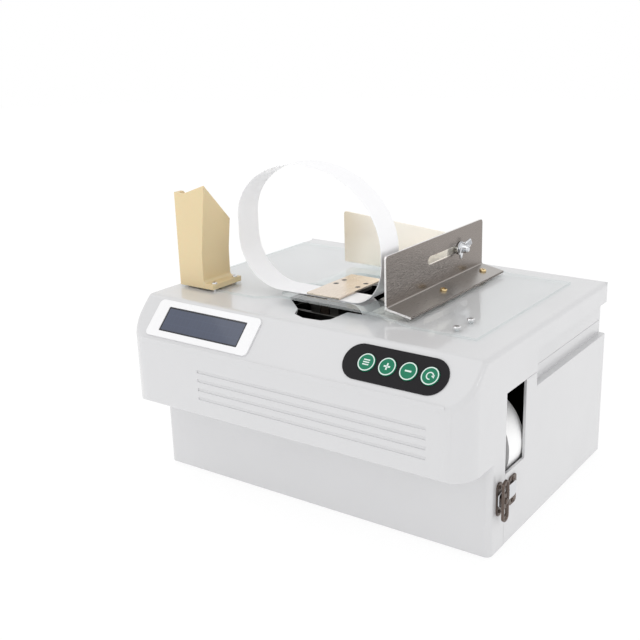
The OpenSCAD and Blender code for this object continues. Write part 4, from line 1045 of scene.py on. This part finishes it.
class BANDER_OT_stage(bpy.types.Operator):
    """Sets up the floor, the light and the camera"""

    bl_idname = "bander.stage"
    bl_label = "Stage"

    def execute(self, context):
        settings = context.scene.bander_stage
        context.scene.view_settings.view_transform = "Standard"
        self.floor(settings.bounce)
        self.sky(context, settings.sky)
        # each lamp's name, place, aim, size and power
        self.lamp("key", (-0.8, -0.6, 1.9), (0, 0, 0.12), (2.0, 1.4), settings.key)
        self.lamp("side", (1.9, -0.28, 1.2), (0.18, -0.1, 0.2), (1.2, 0.12), settings.side)
        self.lamp("fill", (-1.1, -1.65, 0.62), (0, -0.14, 0.15), (2.4, 0.10), settings.fill)
        self.camera(context, settings.lens)
        return {"FINISHED"}

    def floor(self, bounce):
        shape = bmesh.new()
        bmesh.ops.create_circle(shape, cap_ends=True, segments=96, radius=4.0)
        mesh = bpy.data.meshes.new("floor")
        shape.to_mesh(mesh)
        shape.free()
        finish = new_finish("floor_white", (0.90, 0.90, 0.90), 0.9, Emission_Color=WHITE,
                            Emission_Strength=bounce)
        glow = add(finish, "ShaderNodeEmission", Color=WHITE, Strength=1.0)
        # What is seen is mostly plain white, and the rest keeps the machine's shadow.
        share = sums(finish, "MULTIPLY", seen_directly(finish), 0.86)
        join(finish, mixed(finish, share, shader_of(finish).outputs[0], glow.outputs[0]), surface_of(finish))
        mesh.materials.append(finish)
        floor = bpy.data.objects.new("floor", mesh)
        floor.location.z = -0.0002  # a hair under the feet
        bpy.context.scene.collection.objects.link(floor)

    def sky(self, context, level):
        world = bpy.data.worlds.new("studio")
        context.scene.world = world
        world.use_nodes = True
        light = world.node_tree.nodes["Background"]
        light.inputs["Color"].default_value = WHITE
        light.inputs["Strength"].default_value = level
        seen = add(world, "ShaderNodeBackground", Color=WHITE, Strength=1.0)
        join(world, mixed(world, seen_directly(world), light.outputs[0], seen.outputs[0]), surface_of(world))

    def lamp(self, name, place, aim, size, power):
        data = bpy.data.lights.new(name, "AREA")
        data.shape = "RECTANGLE"
        data.size, data.size_y = size
        data.energy = power
        lamp = bpy.data.objects.new(name, data)
        lamp.location = place
        lamp.rotation_euler = (Vector(aim) - Vector(place)).to_track_quat("-Z", "Y").to_euler()
        bpy.context.scene.collection.objects.link(lamp)

    def camera(self, context, lens):
        azimuth, elevation, roll = math.radians(31.49), math.radians(17.71), math.radians(-0.17)
        ahead = Vector((-math.sin(azimuth) * math.cos(elevation), math.cos(azimuth) * math.cos(elevation),
                        -math.sin(elevation)))
        data = bpy.data.cameras.new("camera")
        data.lens = lens
        data.sensor_width = 36
        data.shift_x, data.shift_y = -0.142, -0.011
        camera = bpy.data.objects.new("camera", data)
        camera.location = (0.5244, -0.7943, 0.4726)
        turn = ahead.to_track_quat("-Z", "Y").to_matrix() @ Matrix.Rotation(roll, 3, "Z")
        camera.rotation_euler = turn.to_euler()
        context.scene.collection.objects.link(camera)
        context.scene.camera = camera


SETTINGS = (
    ("bander_casing", BanderCasing), ("bander_panel", BanderPanel), ("bander_metal", BanderMetal),
    ("bander_stage", BanderStage),
)
OPERATORS = (
    BANDER_OT_stage, BANDER_OT_casing, BANDER_OT_base, BANDER_OT_panel, BANDER_OT_table, BANDER_OT_fence,
    BANDER_OT_guide, BANDER_OT_tape, BANDER_OT_anvil, BANDER_OT_latch, BANDER_OT_works, BANDER_OT_back,
)


class BANDER_PT_sidebar(bpy.types.Panel):
    """Lists the pieces and their settings"""

    bl_idname = "BANDER_PT_sidebar"
    bl_label = "Tape banding machine"
    bl_space_type = "VIEW_3D"
    bl_region_type = "UI"
    bl_category = "Bander"

    def draw(self, context):
        layout = self.layout
        for name, group in SETTINGS:
            box = layout.box()
            for prop in group.__annotations__:
                box.prop(getattr(context.scene, name), prop)
        for operator in OPERATORS:
            layout.operator(operator.bl_idname)


def register():
    for name, group in SETTINGS:
        bpy.utils.register_class(group)
        setattr(bpy.types.Scene, name, bpy.props.PointerProperty(type=group))
    for operator in OPERATORS:
        bpy.utils.register_class(operator)
    bpy.utils.register_class(BANDER_PT_sidebar)


def unregister():
    bpy.utils.unregister_class(BANDER_PT_sidebar)
    for operator in reversed(OPERATORS):
        bpy.utils.unregister_class(operator)
    for name, group in reversed(SETTINGS):
        delattr(bpy.types.Scene, name)
        bpy.utils.unregister_class(group)


def main():
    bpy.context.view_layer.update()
    register()
    FINISH.update(finishes(bpy.context))
    for operator in OPERATORS:
        group, name = operator.bl_idname.split(".")
        getattr(getattr(bpy.ops, group), name)()


if __name__ == "__main__":
    main()
